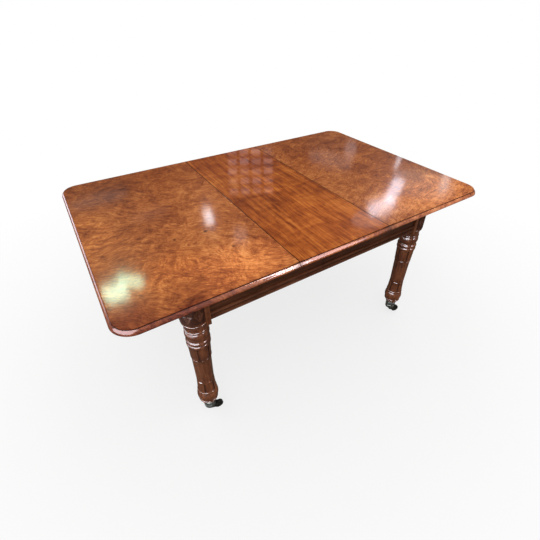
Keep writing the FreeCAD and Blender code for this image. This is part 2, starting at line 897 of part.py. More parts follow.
# Horn: a round plate and pivot under the cup, and a fork that trails to the axle
def castor_horn(corner, x, y, turn):
    label = f"horn_{corner}"
    body = new_body(label)
    head = new_sketch(body, f"{label}_head", "XZ_Plane")
    plate_low = f"({HORN_TOP} - horn_plate_thickness)"
    pivot_top = f"({HORN_TOP} + pivot_length)"
    draw(
        head,
        [
            (0, plate_low),
            ("horn_plate_radius", plate_low),
            ("horn_plate_radius", HORN_TOP),
            ("pivot_radius", HORN_TOP),
            ("pivot_radius", pivot_top),
            (0, pivot_top),
        ],
    )
    revolve(body, f"{label}_turning", head)
    fork = new_sketch(body, f"{label}_fork", "XZ_Plane")

    def about_axle(name):
        u, v = eye_shares[name]
        return f"wheel_trail + horn_eye * ({u})", f"wheel_radius + horn_eye * ({v})"

    draw(
        fork,
        [
            (f"-1 * horn_plate_radius * {fork_back_shares[0]}", HORN_TOP),
            (f"-1 * horn_plate_radius * {fork_back_shares[0]}", plate_low),
            (f"-1 * horn_plate_radius * {fork_back_shares[1]}", "wheel_radius + horn_eye"),
            about_axle("low"),
            (*about_axle("high"), *about_axle("round")),
            ("horn_plate_radius", HORN_TOP),
        ],
    )
    pad(body, f"{label}_cheeks", fork, FORK_WIDTH, centred=True)
    slot = new_sketch(body, f"{label}_slot", "XZ_Plane")
    draw(
        slot,
        [
            ("horn_web", "-1 * overrun"),
            ("wheel_trail + wheel_radius + overrun", "-1 * overrun"),
            ("wheel_trail + wheel_radius + overrun", "cup_base + overrun"),
            ("horn_plate_radius + overrun", "cup_base + overrun"),
            ("horn_plate_radius + overrun", f"{plate_low} - wheel_side_play"),
            ("horn_web", f"{plate_low} - wheel_side_play"),
        ],
    )
    pocket(body, f"{label}_gap", slot, "wheel_width + 2 * wheel_side_play", centred=True)
    eye = new_sketch(body, f"{label}_eye", "XZ_Plane")
    draw_circle(eye, "wheel_trail", "wheel_radius", "axle_radius")
    pocket(body, f"{label}_bore", eye, f"{FORK_WIDTH} + 2 * overrun", centred=True)
    place(body, x, y, rotation=turned_about_z(turn))
    return finished(body, label)


def trailed(x, y, turn):
    return f"{x} + wheel_trail * cos({turn})", f"{y} + wheel_trail * sin({turn})"


# Wheel with eased edges, turned about its axle
def castor_wheel(corner, x, y, turn):
    label = f"wheel_{corner}"
    body = new_body(label)
    section = new_sketch(body, f"{label}_section", "XZ_Plane")
    bore = "(axle_radius + axle_play)"
    half = "wheel_width / 2"
    draw(
        section,
        [
            (bore, f"-1 * {half}"),
            ("wheel_radius - wheel_edge", f"-1 * {half}"),
            ("wheel_radius", f"wheel_edge - {half}"),
            ("wheel_radius", f"{half} - wheel_edge"),
            ("wheel_radius - wheel_edge", half),
            (bore, half),
        ],
    )
    revolve(body, f"{label}_turning", section)
    lying = FreeCAD.Rotation(X_AXIS, 90)
    place(body, *trailed(x, y, turn), "wheel_radius", turned_about_z(turn) * lying)
    return finished(body, label)


def castor_axle(corner, x, y, turn):
    label = f"axle_{corner}"
    lying = FreeCAD.Rotation(X_AXIS, 90)
    reach = f"({FORK_WIDTH} / 2 + axle_head)"
    across_x = f"{x} + wheel_trail * cos({turn}) - {reach} * sin({turn})"
    across_y = f"{y} + wheel_trail * sin({turn}) + {reach} * cos({turn})"
    piece = cylinder(
        label, "axle_radius", f"2 * {reach}", across_x, across_y, "wheel_radius",
        turned_about_z(turn) * lying,
    )
    return finished(piece, label)


end_top("left", 0)
end_top("right", 180)
leaf_board()
for side in SIDES:
    end_rail(side)
    cross_rail(side)
    for face in FACES:
        dowel(side, face)
        side_rail(side, face)
        corner_strips(side, face)
        turned_leg(side, face)
        slide(side, face)
for face in FACES:
    leaf_rail(face)
nut_rail()
nut()
screw()
crank_plate()
for corner, turn in trail_angles.items():
    side, face = corner.split("_")
    x = f"{SIDES[side]} * {LEG_X}"
    y = f"{FACES[face]} * {LEG_Y}"
    castor_cup(corner, x, y)
    castor_horn(corner, x, y, turn)
    castor_wheel(corner, x, y, turn)
    castor_axle(corner, x, y, turn)

document.recompute()

for item in document.Objects:
    if {"Invalid", "Error"} & set(item.State):
        raise RuntimeError(f"{item.Label} is {item.State}")
for piece in pieces:
    if piece.Shape.isNull() or not piece.Shape.isValid():
        raise RuntimeError(f"{piece.Label} has no valid shape")

os.makedirs("parts", exist_ok=True)
for piece in pieces:
    piece.Shape.exportStep(f"parts/{piece.Label}.step")
    print(piece.Label, len(piece.Shape.Solids), round(piece.Shape.Volume / 1000.0, 1))
print(len(pieces), "pieces")
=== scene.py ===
import json
from math import atan2, cos, degrees, hypot, pi, radians, sin

import bmesh
import bpy
import numpy as np
from mathutils import Matrix, Vector


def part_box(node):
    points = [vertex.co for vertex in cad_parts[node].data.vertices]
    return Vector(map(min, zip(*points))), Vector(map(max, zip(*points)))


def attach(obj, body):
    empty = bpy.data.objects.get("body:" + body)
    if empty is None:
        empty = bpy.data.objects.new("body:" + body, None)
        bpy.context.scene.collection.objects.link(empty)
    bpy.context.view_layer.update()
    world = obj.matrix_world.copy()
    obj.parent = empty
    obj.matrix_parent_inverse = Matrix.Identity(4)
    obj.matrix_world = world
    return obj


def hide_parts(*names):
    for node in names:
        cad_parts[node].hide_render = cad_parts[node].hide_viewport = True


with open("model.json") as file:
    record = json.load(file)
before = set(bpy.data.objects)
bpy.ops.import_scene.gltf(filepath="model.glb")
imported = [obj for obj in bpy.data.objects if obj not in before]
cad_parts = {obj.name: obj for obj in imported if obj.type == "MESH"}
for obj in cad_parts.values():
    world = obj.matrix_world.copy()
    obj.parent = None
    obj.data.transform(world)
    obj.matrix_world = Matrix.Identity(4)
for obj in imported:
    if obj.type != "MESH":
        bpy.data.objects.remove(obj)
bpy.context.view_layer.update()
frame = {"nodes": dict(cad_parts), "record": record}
nodes = frame["nodes"]
scene = bpy.context.scene
sides = {"left": -1, "right": 1}
faces = {"front": -1, "back": 1}
print("frame loaded:", len(nodes), "nodes")


# Node helpers

def addNode(tree, kind, inputs=None, **settings):
    node = tree.nodes.new("ShaderNode" + kind)
    for key, value in settings.items():
        setattr(node, key, value)
    for key, value in (inputs or {}).items():
        socket = node.inputs[key]
        if isinstance(value, bpy.types.NodeSocket):
            tree.links.new(value, socket)
        else:
            socket.default_value = value
    return node


def mixColours(tree, factor, first, second, mode="MIX"):
    return addNode(tree, "Mix", {0: factor, 6: first, 7: second}, data_type="RGBA",
                   blend_type=mode).outputs[2]


def sums(tree, operation, first, second=0.0, third=0.0):
    return addNode(tree, "Math", {0: first, 1: second, 2: third}, operation=operation).outputs[0]


def vectorSums(tree, operation, first, second=(0, 0, 0), third=(0, 0, 0)):
    node = addNode(tree, "VectorMath", {0: first, 1: second, 2: third}, operation=operation)
    return node.outputs[1 if operation == "LENGTH" else 0]


# A place moved by the three colours of a noise, less their middle, times the reach
def swayed(tree, place, colours, reach):
    centred = vectorSums(tree, "SUBTRACT", colours, (0.5, 0.5, 0.5))
    return vectorSums(tree, "MULTIPLY_ADD", centred, reach, place)


def stretched(tree, source, scale, turn=(0, 0, 0), shift=(0, 0, 0)):
    return addNode(tree, "Mapping", {"Vector": source, "Scale": scale, "Rotation": turn,
                                     "Location": shift}).outputs[0]


def noise(tree, vector, scale, detail=3.0, roughness=0.55, distortion=0.0):
    return addNode(tree, "TexNoise", {"Vector": vector, "Scale": scale, "Detail": detail,
                                      "Roughness": roughness, "Distortion": distortion})


def ramp(tree, factor, stops, smooth=False):
    node = addNode(tree, "ValToRGB", {"Fac": factor})
    if smooth:
        node.color_ramp.interpolation = "EASE"
    elements = node.color_ramp.elements
    while len(elements) < len(stops):
        elements.new(0.5)
    for element, (place, colour) in zip(elements, stops):
        element.position = place
        element.color = (*colour, 1.0)
    return node.outputs[0]


def remap(tree, value, low, high, toLow=0.0, toHigh=1.0, kind="LINEAR"):
    return addNode(tree, "MapRange", {0: value, 1: low, 2: high, 3: toLow, 4: toHigh},
                   interpolation_type=kind).outputs[0]


def bumped(tree, height, distance=1.0, strength=1.0):
    return addNode(tree, "Bump", {"Height": height, "Distance": distance,
                                  "Strength": strength}).outputs[0]


def newMaterial(name):
    material = bpy.data.materials.new(name)
    material.use_nodes = True
    material.node_tree.nodes.clear()
    return material, material.node_tree


def finishMaterial(tree, shader):
    addNode(tree, "OutputMaterial", {"Surface": shader.outputs[0]})


# Woods: what a user would change for each finish. A row of marks gives how many lie in a metre,
# their weight in the sum and their length in widths. Veins have their number, half width,
# darkness and length, and bends the number and reach of the slow noises that move the grain.
woodLooks = {
    "endBoardWood": {
        "along": 0, "shift": (0.0, 0.0, 0.0), "bends": ((2.3, 0.25), (6.0, 0.08), (30.0, 0.01)),
        "marks": {"broad": (2.6, 0.44, 1.0), "cloud": (11.0, 0.36, 1.0), "streaks": (80.0, 0.38, 5.0),
                  "mottle": (50.0, 0.24, 4.0), "curl": (200.0, 0.42, 3.5), "pores": (640.0, 0.1, 16.0)},
        "veins": (30.0, 0.045, 0.09, 3.5),
        "stops": ((0.28, (0.16, 0.034, 0.009)), (0.4, (0.305, 0.072, 0.016)),
                  (0.5, (0.45, 0.122, 0.026)), (0.59, (0.6, 0.192, 0.044)),
                  (0.74, (0.79, 0.33, 0.1))),
        "roughness": 0.4, "gloss": 0.16, "coat": 0.85, "coatRoughness": 0.1,
        "wave": 0.0003, "pore": 0.00004,
    },
    "leafWood": {
        "along": 1, "shift": (0.31, 0.2, 0.0), "bends": ((2.0, 0.03), (9.0, 0.005)),
        "marks": {"broad": (2.4, 0.46, 1.0), "cloud": (9.0, 0.3, 1.0), "streaks": (75.0, 0.62, 18.0),
                  "mottle": (22.0, 0.26, 3.0), "curl": (190.0, 0.26, 16.0), "pores": (640.0, 0.1, 16.0)},
        "veins": (60.0, 0.04, 0.08, 14.0),
        "stops": ((0.32, (0.195, 0.036, 0.006)), (0.42, (0.335, 0.07, 0.008)),
                  (0.5, (0.465, 0.108, 0.012)), (0.58, (0.59, 0.162, 0.02)),
                  (0.7, (0.74, 0.255, 0.042))),
        "roughness": 0.34, "gloss": 0.2, "coat": 0.95, "coatRoughness": 0.06,
        "wave": 0.00025, "pore": 0.00002,
    },
    "railWood": {
        "along": 0, "shift": (0.0, 0.7, 0.3), "bends": ((3.0, 0.02),),
        "marks": {"broad": (5.0, 0.4, 1.0), "cloud": (14.0, 0.1, 1.0), "streaks": (90.0, 0.6, 22.0),
                  "mottle": (30.0, 0.12, 4.0), "curl": (200.0, 0.1, 12.0), "pores": (640.0, 0.2, 16.0)},
        "veins": (70.0, 0.04, 0.06, 16.0),
        "stops": ((0.3, (0.052, 0.015, 0.006)), (0.45, (0.115, 0.036, 0.014)),
                  (0.58, (0.195, 0.064, 0.027)), (0.75, (0.3, 0.108, 0.046))),
        "roughness": 0.46, "gloss": 0.2, "coat": 0.35, "coatRoughness": 0.26,
        "wave": 0.0002, "pore": 0.00003,
    },
    "legWood": {
        "along": 2, "shift": (0.0, 0.0, 0.0), "bends": ((4.0, 0.03), (20.0, 0.004)),
        "marks": {"broad": (7.0, 0.42, 1.0), "cloud": (18.0, 0.16, 1.0), "streaks": (95.0, 0.52, 12.0),
                  "mottle": (40.0, 0.16, 3.0), "curl": (220.0, 0.12, 8.0), "pores": (640.0, 0.18, 16.0)},
        "veins": (60.0, 0.04, 0.06, 9.0),
        "stops": ((0.3, (0.075, 0.021, 0.008)), (0.45, (0.16, 0.047, 0.018)),
                  (0.58, (0.26, 0.083, 0.032)), (0.75, (0.37, 0.132, 0.054))),
        "roughness": 0.42, "gloss": 0.08, "coat": 0.95, "coatRoughness": 0.08,
        "wave": 0.00006, "pore": 0.00003,
    },
    "frameWood": {
        "along": 0, "shift": (0.0, 0.4, 0.9), "bends": ((3.0, 0.02),),
        "marks": {"broad": (4.0, 0.45, 1.0), "cloud": (12.0, 0.1, 1.0), "streaks": (80.0, 0.6, 20.0),
                  "mottle": (30.0, 0.1, 4.0), "curl": (200.0, 0.1, 12.0), "pores": (640.0, 0.3, 16.0)},
        "veins": (60.0, 0.04, 0.05, 14.0),
        "stops": ((0.3, (0.15, 0.07, 0.032)), (0.45, (0.24, 0.118, 0.056)),
                  (0.58, (0.33, 0.172, 0.084)), (0.75, (0.42, 0.235, 0.125))),
        "roughness": 0.62, "gloss": 0.35, "coat": 0.0, "coatRoughness": 0.3,
        "wave": 0.0, "pore": 0.00012,
    },
}

# The same in all woods. Each kind of noise has its detail, roughness and distortion.
woodNoises = {
    "broad": (4.0, 0.6, 1.1), "cloud": (4.0, 0.65, 1.6), "streaks": (5.0, 0.62, 0.25),
    "mottle": (3.0, 0.6, 0.9), "curl": (3.0, 0.6, 0.8), "pores": (2.0, 0.5), "veins": (3.0, 0.6, 1.0),
    "bends": (2.0, 0.5), "tonesAndLight": (3.0, 0.6), "wave": (1.0,),
}
# Edge finish. The dark colour marks real joints and is also painted shade in steps, quirks, turned hollows
# and carving, where the polish is taken off too. The rim tint is partly edge wear and partly painted sheen.
woodFinish = {
    "rimWearAndSheenTint": (0.84, 0.86, 1.3), "shadeAndJoints": (0.022, 0.008, 0.005), "creaseDull": (0.2, 0.72),
    "knot": (0.06, 0.014, 0.006), "ovalCore": 0.15, "figureScale": 11.0,
    "patchSway": (0.22, 0.22, 0.0), "knotSway": (0.02, 0.02, 0.0), "streakRange": (0.3, 0.7),
    "smoother": 0.04, "rougher": 0.06, "waveScale": 9.0, "coatIor": 1.45,
}

# Soft patches that multiply the colour: x, y, half length, half width, turn, colour share. Those
# that turn the colour towards blue are painted sheen and light; the others are partly the wood's
# own tone and partly painted light and shade.
# Knots: x, y, half length, half width, turn, strength.
boardTonesAndLight = {
    "left": {
        "patches": ((-0.73, -0.45, 0.1, 0.11, 8, (0.6, 0.42, 0.44)),
                    (-0.58, -0.5, 0.2, 0.05, 0, (0.62, 0.46, 0.5)),
                    (-0.64, 0.34, 0.26, 0.24, 0, (0.74, 0.68, 0.66)),
                    (-0.34, 0.38, 0.22, 0.22, 0, (0.8, 0.7, 0.58)),
                    (-0.56, -0.3, 0.15, 0.14, 30, (1.22, 1.2, 1.1)),
                    (-0.36, -0.4, 0.25, 0.16, 0, (1.62, 1.72, 1.9)),
                    (-0.72, 0.02, 0.07, 0.2, 0, (1.2, 1.25, 1.2)),
                    (-0.47, 0.05, 0.2, 0.07, 25, (0.84, 0.78, 0.72))),
        "knots": ((-0.383, -0.161, 0.016, 0.01, 30, 0.9), (-0.497, -0.156, 0.012, 0.008, 60, 0.7),
                  (-0.339, -0.3, 0.009, 0.007, 0, 0.8), (-0.56, 0.21, 0.01, 0.007, 40, 0.6)),
    },
    "right": {
        "patches": ((0.58, -0.42, 0.36, 0.22, 0, (1.74, 1.96, 2.5)),
                    (0.62, 0.32, 0.28, 0.24, 0, (0.9, 0.92, 1.15)),
                    (0.31, 0.18, 0.14, 0.24, 0, (0.9, 0.82, 0.72)),
                    (0.3, -0.4, 0.13, 0.14, 0, (1.15, 1.25, 1.7))),
        "knots": ((0.47, 0.05, 0.01, 0.007, 20, 0.6),),
    },
    "leaf": {
        "patches": ((0.02, 0.36, 0.34, 0.28, 0, (0.78, 0.66, 0.6)),
                    (0.06, -0.34, 0.3, 0.26, 0, (1.14, 1.16, 1.3)),
                    (0.02, 0.02, 0.06, 0.34, 4, (1.12, 1.12, 1.0)),
                    (-0.13, 0.02, 0.07, 0.3, 0, (0.86, 0.82, 0.8))),
        "knots": (),
    },
}


# How deep a point lies in a soft oval: one at its middle, nothing from its rim on
def ovalShare(tree, source, row):
    x, y, long, wide, turn = row[:5]
    laid = addNode(tree, "Mapping", {
        "Vector": source, "Location": (x, y, 0), "Rotation": (0, 0, radians(turn)),
        "Scale": (long, wide, 1000.0)}, vector_type="TEXTURE").outputs[0]
    return remap(tree, vectorSums(tree, "LENGTH", laid), woodFinish["ovalCore"], 1.0, 1.0, 0.0,
                 "SMOOTHSTEP")


# Wood: broad bands, clouds, streaks and curls along the grain, mottle across it, thin dark veins
# and fine pores are added up, and the sum picks a colour. Slow noises bend the grain's line.
def woodMaterial(name, look, edged=False, along=None, turn=0.0, shift=None, tonesAndLight=None):
    material, tree = newMaterial(name)
    axis = look["along"] if along is None else along
    spot = addNode(tree, "TexCoord").outputs["Object"]
    place = stretched(tree, spot, (1, 1, 1), (0, 0, radians(turn)), shift or look["shift"])
    bent = place
    for count, reach in look["bends"]:
        slow = noise(tree, place, count, *woodNoises["bends"]).outputs["Color"]
        bent = swayed(tree, bent, slow, (reach,) * 3)

    def mark(kind, count, stretch):
        scale = [1.0 / stretch if (way == axis) != (kind == "mottle") else 1.0 for way in range(3)]
        source = bent if stretch == 1.0 else stretched(tree, bent, scale)
        return noise(tree, source, count, *woodNoises[kind]).outputs["Fac"]

    count, thin, dark, stretch = look["veins"]
    fromVein = sums(tree, "ABSOLUTE", sums(tree, "SUBTRACT", mark("veins", count, stretch), 0.5))
    total = sums(tree, "MULTIPLY_ADD", remap(tree, fromVein, 0.0, thin, 1.0, 0.0), -dark, 0.5)
    drawn = {}
    for kind, (count, weight, stretch) in look["marks"].items():
        drawn[kind] = mark(kind, count, stretch)
        total = sums(tree, "MULTIPLY_ADD", sums(tree, "SUBTRACT", drawn[kind], 0.5), weight, total)
    colour = ramp(tree, total, look["stops"])
    # Patches: partly the wood's own tone, partly painted light, sheen and shade; knots are the wood's own
    if tonesAndLight:
        loose = noise(tree, spot, woodFinish["figureScale"], *woodNoises["tonesAndLight"]).outputs["Color"]
        wavy = swayed(tree, spot, loose, woodFinish["patchSway"])
        for row in tonesAndLight["patches"]:
            share = ovalShare(tree, wavy, row)
            colour = mixColours(tree, share, colour, (*row[5], 1.0), "MULTIPLY")
        ragged = swayed(tree, spot, loose, woodFinish["knotSway"])
        for row in tonesAndLight["knots"]:
            share = sums(tree, "MULTIPLY", ovalShare(tree, ragged, row), row[5])
            colour = mixColours(tree, share, colour, (*woodFinish["knot"], 1.0))
    polished = look["coat"]
    # Edged pieces: the rim tint is partly wear and partly painted sheen, and the dark colour is painted shade
    # as well as joints.
    if edged:
        rim = addNode(tree, "Attribute", attribute_name="rim").outputs["Fac"]
        shadeAndJoints = addNode(tree, "Attribute", attribute_name="shadeAndJoints").outputs["Fac"]
        rimWearAndSheenTinted = mixColours(tree, 1.0, colour, (*woodFinish["rimWearAndSheenTint"], 1.0), "MULTIPLY")
        colour = mixColours(tree, rim, colour, rimWearAndSheenTinted)
        colour = mixColours(tree, shadeAndJoints, colour, (*woodFinish["shadeAndJoints"], 1.0))
        polished = remap(tree, shadeAndJoints, *woodFinish["creaseDull"], look["coat"], 0.0)
    rough = remap(tree, drawn["streaks"], *woodFinish["streakRange"],
                  look["roughness"] - woodFinish["smoother"], look["roughness"] + woodFinish["rougher"])
    slow = noise(tree, place, woodFinish["waveScale"], *woodNoises["wave"]).outputs["Fac"]
    wave = sums(tree, "MULTIPLY", slow, look["wave"])
    height = sums(tree, "MULTIPLY_ADD", drawn["pores"], look["pore"], wave)
    finishMaterial(tree, addNode(tree, "BsdfPrincipled", {
        "Base Color": colour, "Roughness": rough, "Specular IOR Level": look["gloss"],
        "Coat Weight": polished, "Coat Roughness": look["coatRoughness"],
        "Coat IOR": woodFinish["coatIor"], "Normal": bumped(tree, height),
        "Coat Normal": bumped(tree, wave)}))
    return material


# Metals: a base colour, darker tarnish in slow patches, and fine scratches
metalLooks = {
    "cupBrass": {"colour": (0.19, 0.195, 0.165), "tarnish": (0.04, 0.048, 0.044),
                 "low": 0.32, "high": 0.66, "roughness": 0.3, "metal": 0.75},
    "hornBrass": {"colour": (0.125, 0.13, 0.105), "tarnish": (0.03, 0.034, 0.03),
                  "low": 0.36, "high": 0.7, "roughness": 0.3, "metal": 0.7},
    "plateBrass": {"colour": (0.33, 0.245, 0.11), "tarnish": (0.085, 0.058, 0.026),
                   "low": 0.38, "high": 0.75, "roughness": 0.28, "metal": 1.0},
    "wheelIron": {"colour": (0.072, 0.068, 0.062), "tarnish": (0.026, 0.025, 0.023),
                  "low": 0.35, "high": 0.65, "roughness": 0.45, "metal": 0.6},
    "screwSteel": {"colour": (0.33, 0.315, 0.295), "tarnish": (0.11, 0.085, 0.065),
                   "low": 0.35, "high": 0.75, "roughness": 0.34, "metal": 1.0},
}
metalFinish = {
    # noises: scale, detail, roughness and, for the patches, distortion
    "patches": (55.0, 5.0, 0.65, 0.4), "patchRange": (0.3, 0.7), "duller": 0.16,
    "scratches": (900.0, 2.0, 0.6), "scratchDepth": 0.00008, "scratchStrength": 0.6,
}


def metalMaterial(name, look):
    material, tree = newMaterial(name)
    place = addNode(tree, "TexCoord").outputs["Object"]
    patches = noise(tree, place, *metalFinish["patches"]).outputs["Fac"]
    scratches = noise(tree, place, *metalFinish["scratches"]).outputs["Fac"]
    shade = remap(tree, patches, look["low"], look["high"])
    colour = mixColours(tree, shade, (*look["tarnish"], 1.0), (*look["colour"], 1.0))
    rough = remap(tree, patches, *metalFinish["patchRange"],
                  look["roughness"] + metalFinish["duller"], look["roughness"])
    finishMaterial(tree, addNode(tree, "BsdfPrincipled", {
        "Base Color": colour, "Roughness": rough, "Metallic": look["metal"],
        "Normal": bumped(tree, scratches, metalFinish["scratchDepth"], metalFinish["scratchStrength"])}))
    return material


boardWoods = {
    "left": woodMaterial("leftBoardWood", woodLooks["endBoardWood"], edged=True, turn=28.0,
                         tonesAndLight=boardTonesAndLight["left"]),
    "right": woodMaterial("rightBoardWood", woodLooks["endBoardWood"], edged=True, turn=-24.0,
                          shift=(1.7, 0.4, 0.0), tonesAndLight=boardTonesAndLight["right"]),
}
leafWood = woodMaterial("leafWood", woodLooks["leafWood"], edged=True, tonesAndLight=boardTonesAndLight["leaf"])
railWood = woodMaterial("railWood", woodLooks["railWood"], edged=True)
endRailWood = woodMaterial("endRailWood", woodLooks["railWood"], edged=True, along=1)
stripWood = woodMaterial("stripWood", woodLooks["legWood"], along=2)
legWood = woodMaterial("legWood", woodLooks["legWood"], edged=True)
frameWood = woodMaterial("frameWood", woodLooks["frameWood"])
crossWood = woodMaterial("crossWood", woodLooks["frameWood"], along=1)
metals = {name: metalMaterial(name, look) for name, look in metalLooks.items()}
print("materials made:", len(bpy.data.materials))


# Mesh helpers
mergeWithin = 0.000002
sidesPerCut = 2.1


def addObject(name, data):
    item = bpy.data.objects.new(name, data)
    scene.collection.objects.link(item)
    return item


# A piece from points and faces: doubles merged, faces turned outwards, sharp past an angle. Its
# shares are how far each point takes the rim tint, partly wear and partly painted sheen, and how
# far it takes the dark colour of joints and painted shade.
def makePiece(name, points, polygons, material, body, slot, node, sharp, shares=()):
    mesh = bpy.data.meshes.new(name)
    mesh.from_pydata(np.asarray(points, float).reshape(-1, 3).tolist(), [], polygons)
    for key, share in zip(("rim", "shadeAndJoints"), shares):
        layer = mesh.attributes.new(key, "FLOAT", "POINT")
        layer.data.foreach_set("value", np.full(len(mesh.vertices), share, np.float32))
    build = bmesh.new()
    build.from_mesh(mesh)
    bmesh.ops.remove_doubles(build, verts=build.verts, dist=mergeWithin)
    bmesh.ops.recalc_face_normals(build, faces=build.faces)
    build.to_mesh(mesh)
    build.free()
    mesh.shade_smooth()
    mesh.set_sharp_from_angle(angle=radians(sharp))
    mesh.materials.append(material)
    piece = addObject(name, mesh)
    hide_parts(node)
    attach(piece, body)
    return piece


# What catches the light of the windows beside the table: mouldings, legs and castors
groups = {name: bpy.data.collections.new(name) for name in ("shinyForms", "turnings", "mouldings")}


def catchLight(piece, group):
    groups["shinyForms"].objects.link(piece)
    groups[group].objects.link(piece)


# Numbers set side by side along a last axis, where a single number fills its column
def beside(*parts):
    return np.stack(np.broadcast_arrays(*parts), -1)


# Quads between rings: each ring has the same count of points and closes on itself
def ringQuads(rings, count):
    row, column = np.meshgrid(np.arange(rings - 1), np.arange(count), indexing="ij")
    after = (column + 1) % count
    corners = beside(row * count + column, row * count + after,
                     (row + 1) * count + after, (row + 1) * count + column)
    return corners.reshape(-1, 4).tolist()


# Faces of a closed tube: quads between its rings and one face over each end
def tubeFaces(rings, count):
    start = list(range(count))
    end = list(range((rings - 1) * count, rings * count))
    return [*ringQuads(rings, count), start[::-1], end]


# Points of the arc from start to end that passes through middle, both ends kept
def arcPoints(start, middle, end, steps):
    ax, ay = start
    bx, by = middle
    cx, cy = end
    d = 2 * (ax * (by - cy) + bx * (cy - ay) + cx * (ay - by))
    ux = ((ax**2 + ay**2) * (by - cy) + (bx**2 + by**2) * (cy - ay)
          + (cx**2 + cy**2) * (ay - by)) / d
    uy = ((ax**2 + ay**2) * (cx - bx) + (bx**2 + by**2) * (ax - cx)
          + (cx**2 + cy**2) * (bx - ax)) / d
    first, via, last = (atan2(y - uy, x - ux) for x, y in (start, middle, end))
    turn = (last - first) % (2 * pi)
    if (via - first) % (2 * pi) > turn:
        turn -= 2 * pi
    angle = first + turn * np.linspace(0, 1, steps + 1)
    radius = hypot(ax - ux, ay - uy)
    return beside(ux + radius * np.cos(angle), uy + radius * np.sin(angle))


# A line of points with each inner corner cut to a small curve of that radius, which takes up
# less than half of either side
def eased(line, radius):
    line = np.asarray(line, float)
    result = [line[0]]
    share = np.linspace(0, 1, 4)[:, None]
    for before, corner, after in zip(line[:-2], line[1:-1], line[2:]):
        back, onward = before - corner, after - corner
        lengths = np.linalg.norm(back), np.linalg.norm(onward)
        reach = min(radius, min(lengths) / sidesPerCut)
        near = corner + back / lengths[0] * reach
        far = corner + onward / lengths[1] * reach
        result.extend((1 - share)**2 * near + 2 * share * (1 - share) * corner + share**2 * far)
    result.append(line[-1])
    return np.array(result)


def aroundIn(count):
    return np.linspace(0, 2 * pi, count, endpoint=False)


# Points made about +Z, turned onto an axis through centre
def aimed(points, centre, axis):
    turn = np.array(Vector((0, 0, 1)).rotation_difference(Vector(axis)).to_matrix())
    return points.reshape(-1, 3) @ turn.T + np.asarray(centre, float)


# A ring by turning: a closed profile of (radius, distance along) carried round an axis
def turning(profile, centre, axis, count):
    profile = np.vstack([profile, profile[:1]])
    angle = aroundIn(count)
    upright = beside(profile[:, :1] * np.cos(angle), profile[:, :1] * np.sin(angle), profile[:, 1:])
    return aimed(upright, centre, axis), ringQuads(len(profile), count)


# The top: two ends and the leaf
top = {
    "cornerRadius": 0.068, "stepInset": 0.009, "stepDepth": 0.0027, "lipDrop": 0.017,
    "lipUndercut": 0.005, "lipEase": 0.0012, "thumb": (0.293, 0.4), "arris": 0.0007,
    "arrisBulge": 0.3, "cornerSteps": 22, "thumbSteps": 10, "straightSteps": 12, "margin": 0.0015,
    "clear": 0.0003, "lap": 0.0004, "thumbTintEase": 0.45, "stepShadow": (1.0, 1.0, 0.35), "jointLine": 0.0009,
    "jointDark": (1.0, 0.6, 0.6, 1.0), "leafStations": (-0.15, 0.15, 7), "dowelSpacing": 0.62,
    "dowelDrop": 0.011, "dowelHole": 0.0053, "dowelDepth": 0.0203, "dowelSides": 28,
    "seamSlack": 1e-6, "sharp": 38.0,
}
lowCorner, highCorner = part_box("top_left")
topZ = highCorner.z
underZ = lowCorner.z
halfWidth = highCorner.y
endX = -lowCorner.x
seamX = -highCorner.x
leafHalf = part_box("leaf_board")[1].x


# The flat of a board, from its top over the step's arris to its underside, as rows of
# (inset, height, rim share, share of the dark colour, here painted shadow down the step, how far
# the seam side draws in)
def fieldRows():
    inset, ease, margin = top["stepInset"], top["arris"], top["margin"]
    bulge = ease * top["arrisBulge"]
    flatUnder = underZ + top["clear"]
    return np.array([
        (inset + ease + margin, topZ, 0.0, 0.0, ease + margin), (inset + ease, topZ, 0.0, 0.0, ease),
        (inset + bulge, topZ - bulge, 0.5, 0.0, bulge), (inset, topZ - ease, 1.0, 0.7, 0.0),
        (inset, topZ - top["stepDepth"], 1.0, 1.0, 0.0), (inset, flatUnder, 1.0, 0.0, 0.0),
        (inset + margin, flatUnder, 1.0, 0.0, margin)])


# The moulding's section as a closed line of (inset, height): the step's floor, the thumb as an
# arc, the lip and the undercut; with each point's rim share and its share of the dark colour,
# which here is painted shadow where the thumb meets the step
def mouldingSection():
    inset, lap = top["stepInset"], top["lap"]
    stepZ = topZ - top["stepDepth"]
    middle = (inset * top["thumb"][0], stepZ - (top["lipDrop"] - top["stepDepth"]) * top["thumb"][1])
    thumb = arcPoints((inset, stepZ), middle, (0.0, topZ - top["lipDrop"]), top["thumbSteps"])
    under = eased([thumb[-2], thumb[-1], (top["lipUndercut"], underZ)], top["lipEase"])[1:]
    section = np.vstack([[(inset + lap, stepZ)], thumb[:-1], under,
                         [(inset - lap, underZ), (inset + lap, underZ + lap)]])
    # The rim tint, partly wear and partly painted sheen, eases off in the thumb's middle
    thumbMiddle = np.zeros(len(section))
    thumbMiddle[1:len(thumb)] = np.sin(np.linspace(0, pi, len(thumb) - 1))
    shadeAndJoints = np.zeros(len(section))
    # painted shadow of the step, fading onto the thumb
    shadeAndJoints[:3] = top["stepShadow"]
    return section, 1.0 - top["thumbTintEase"] * thumbMiddle, shadeAndJoints


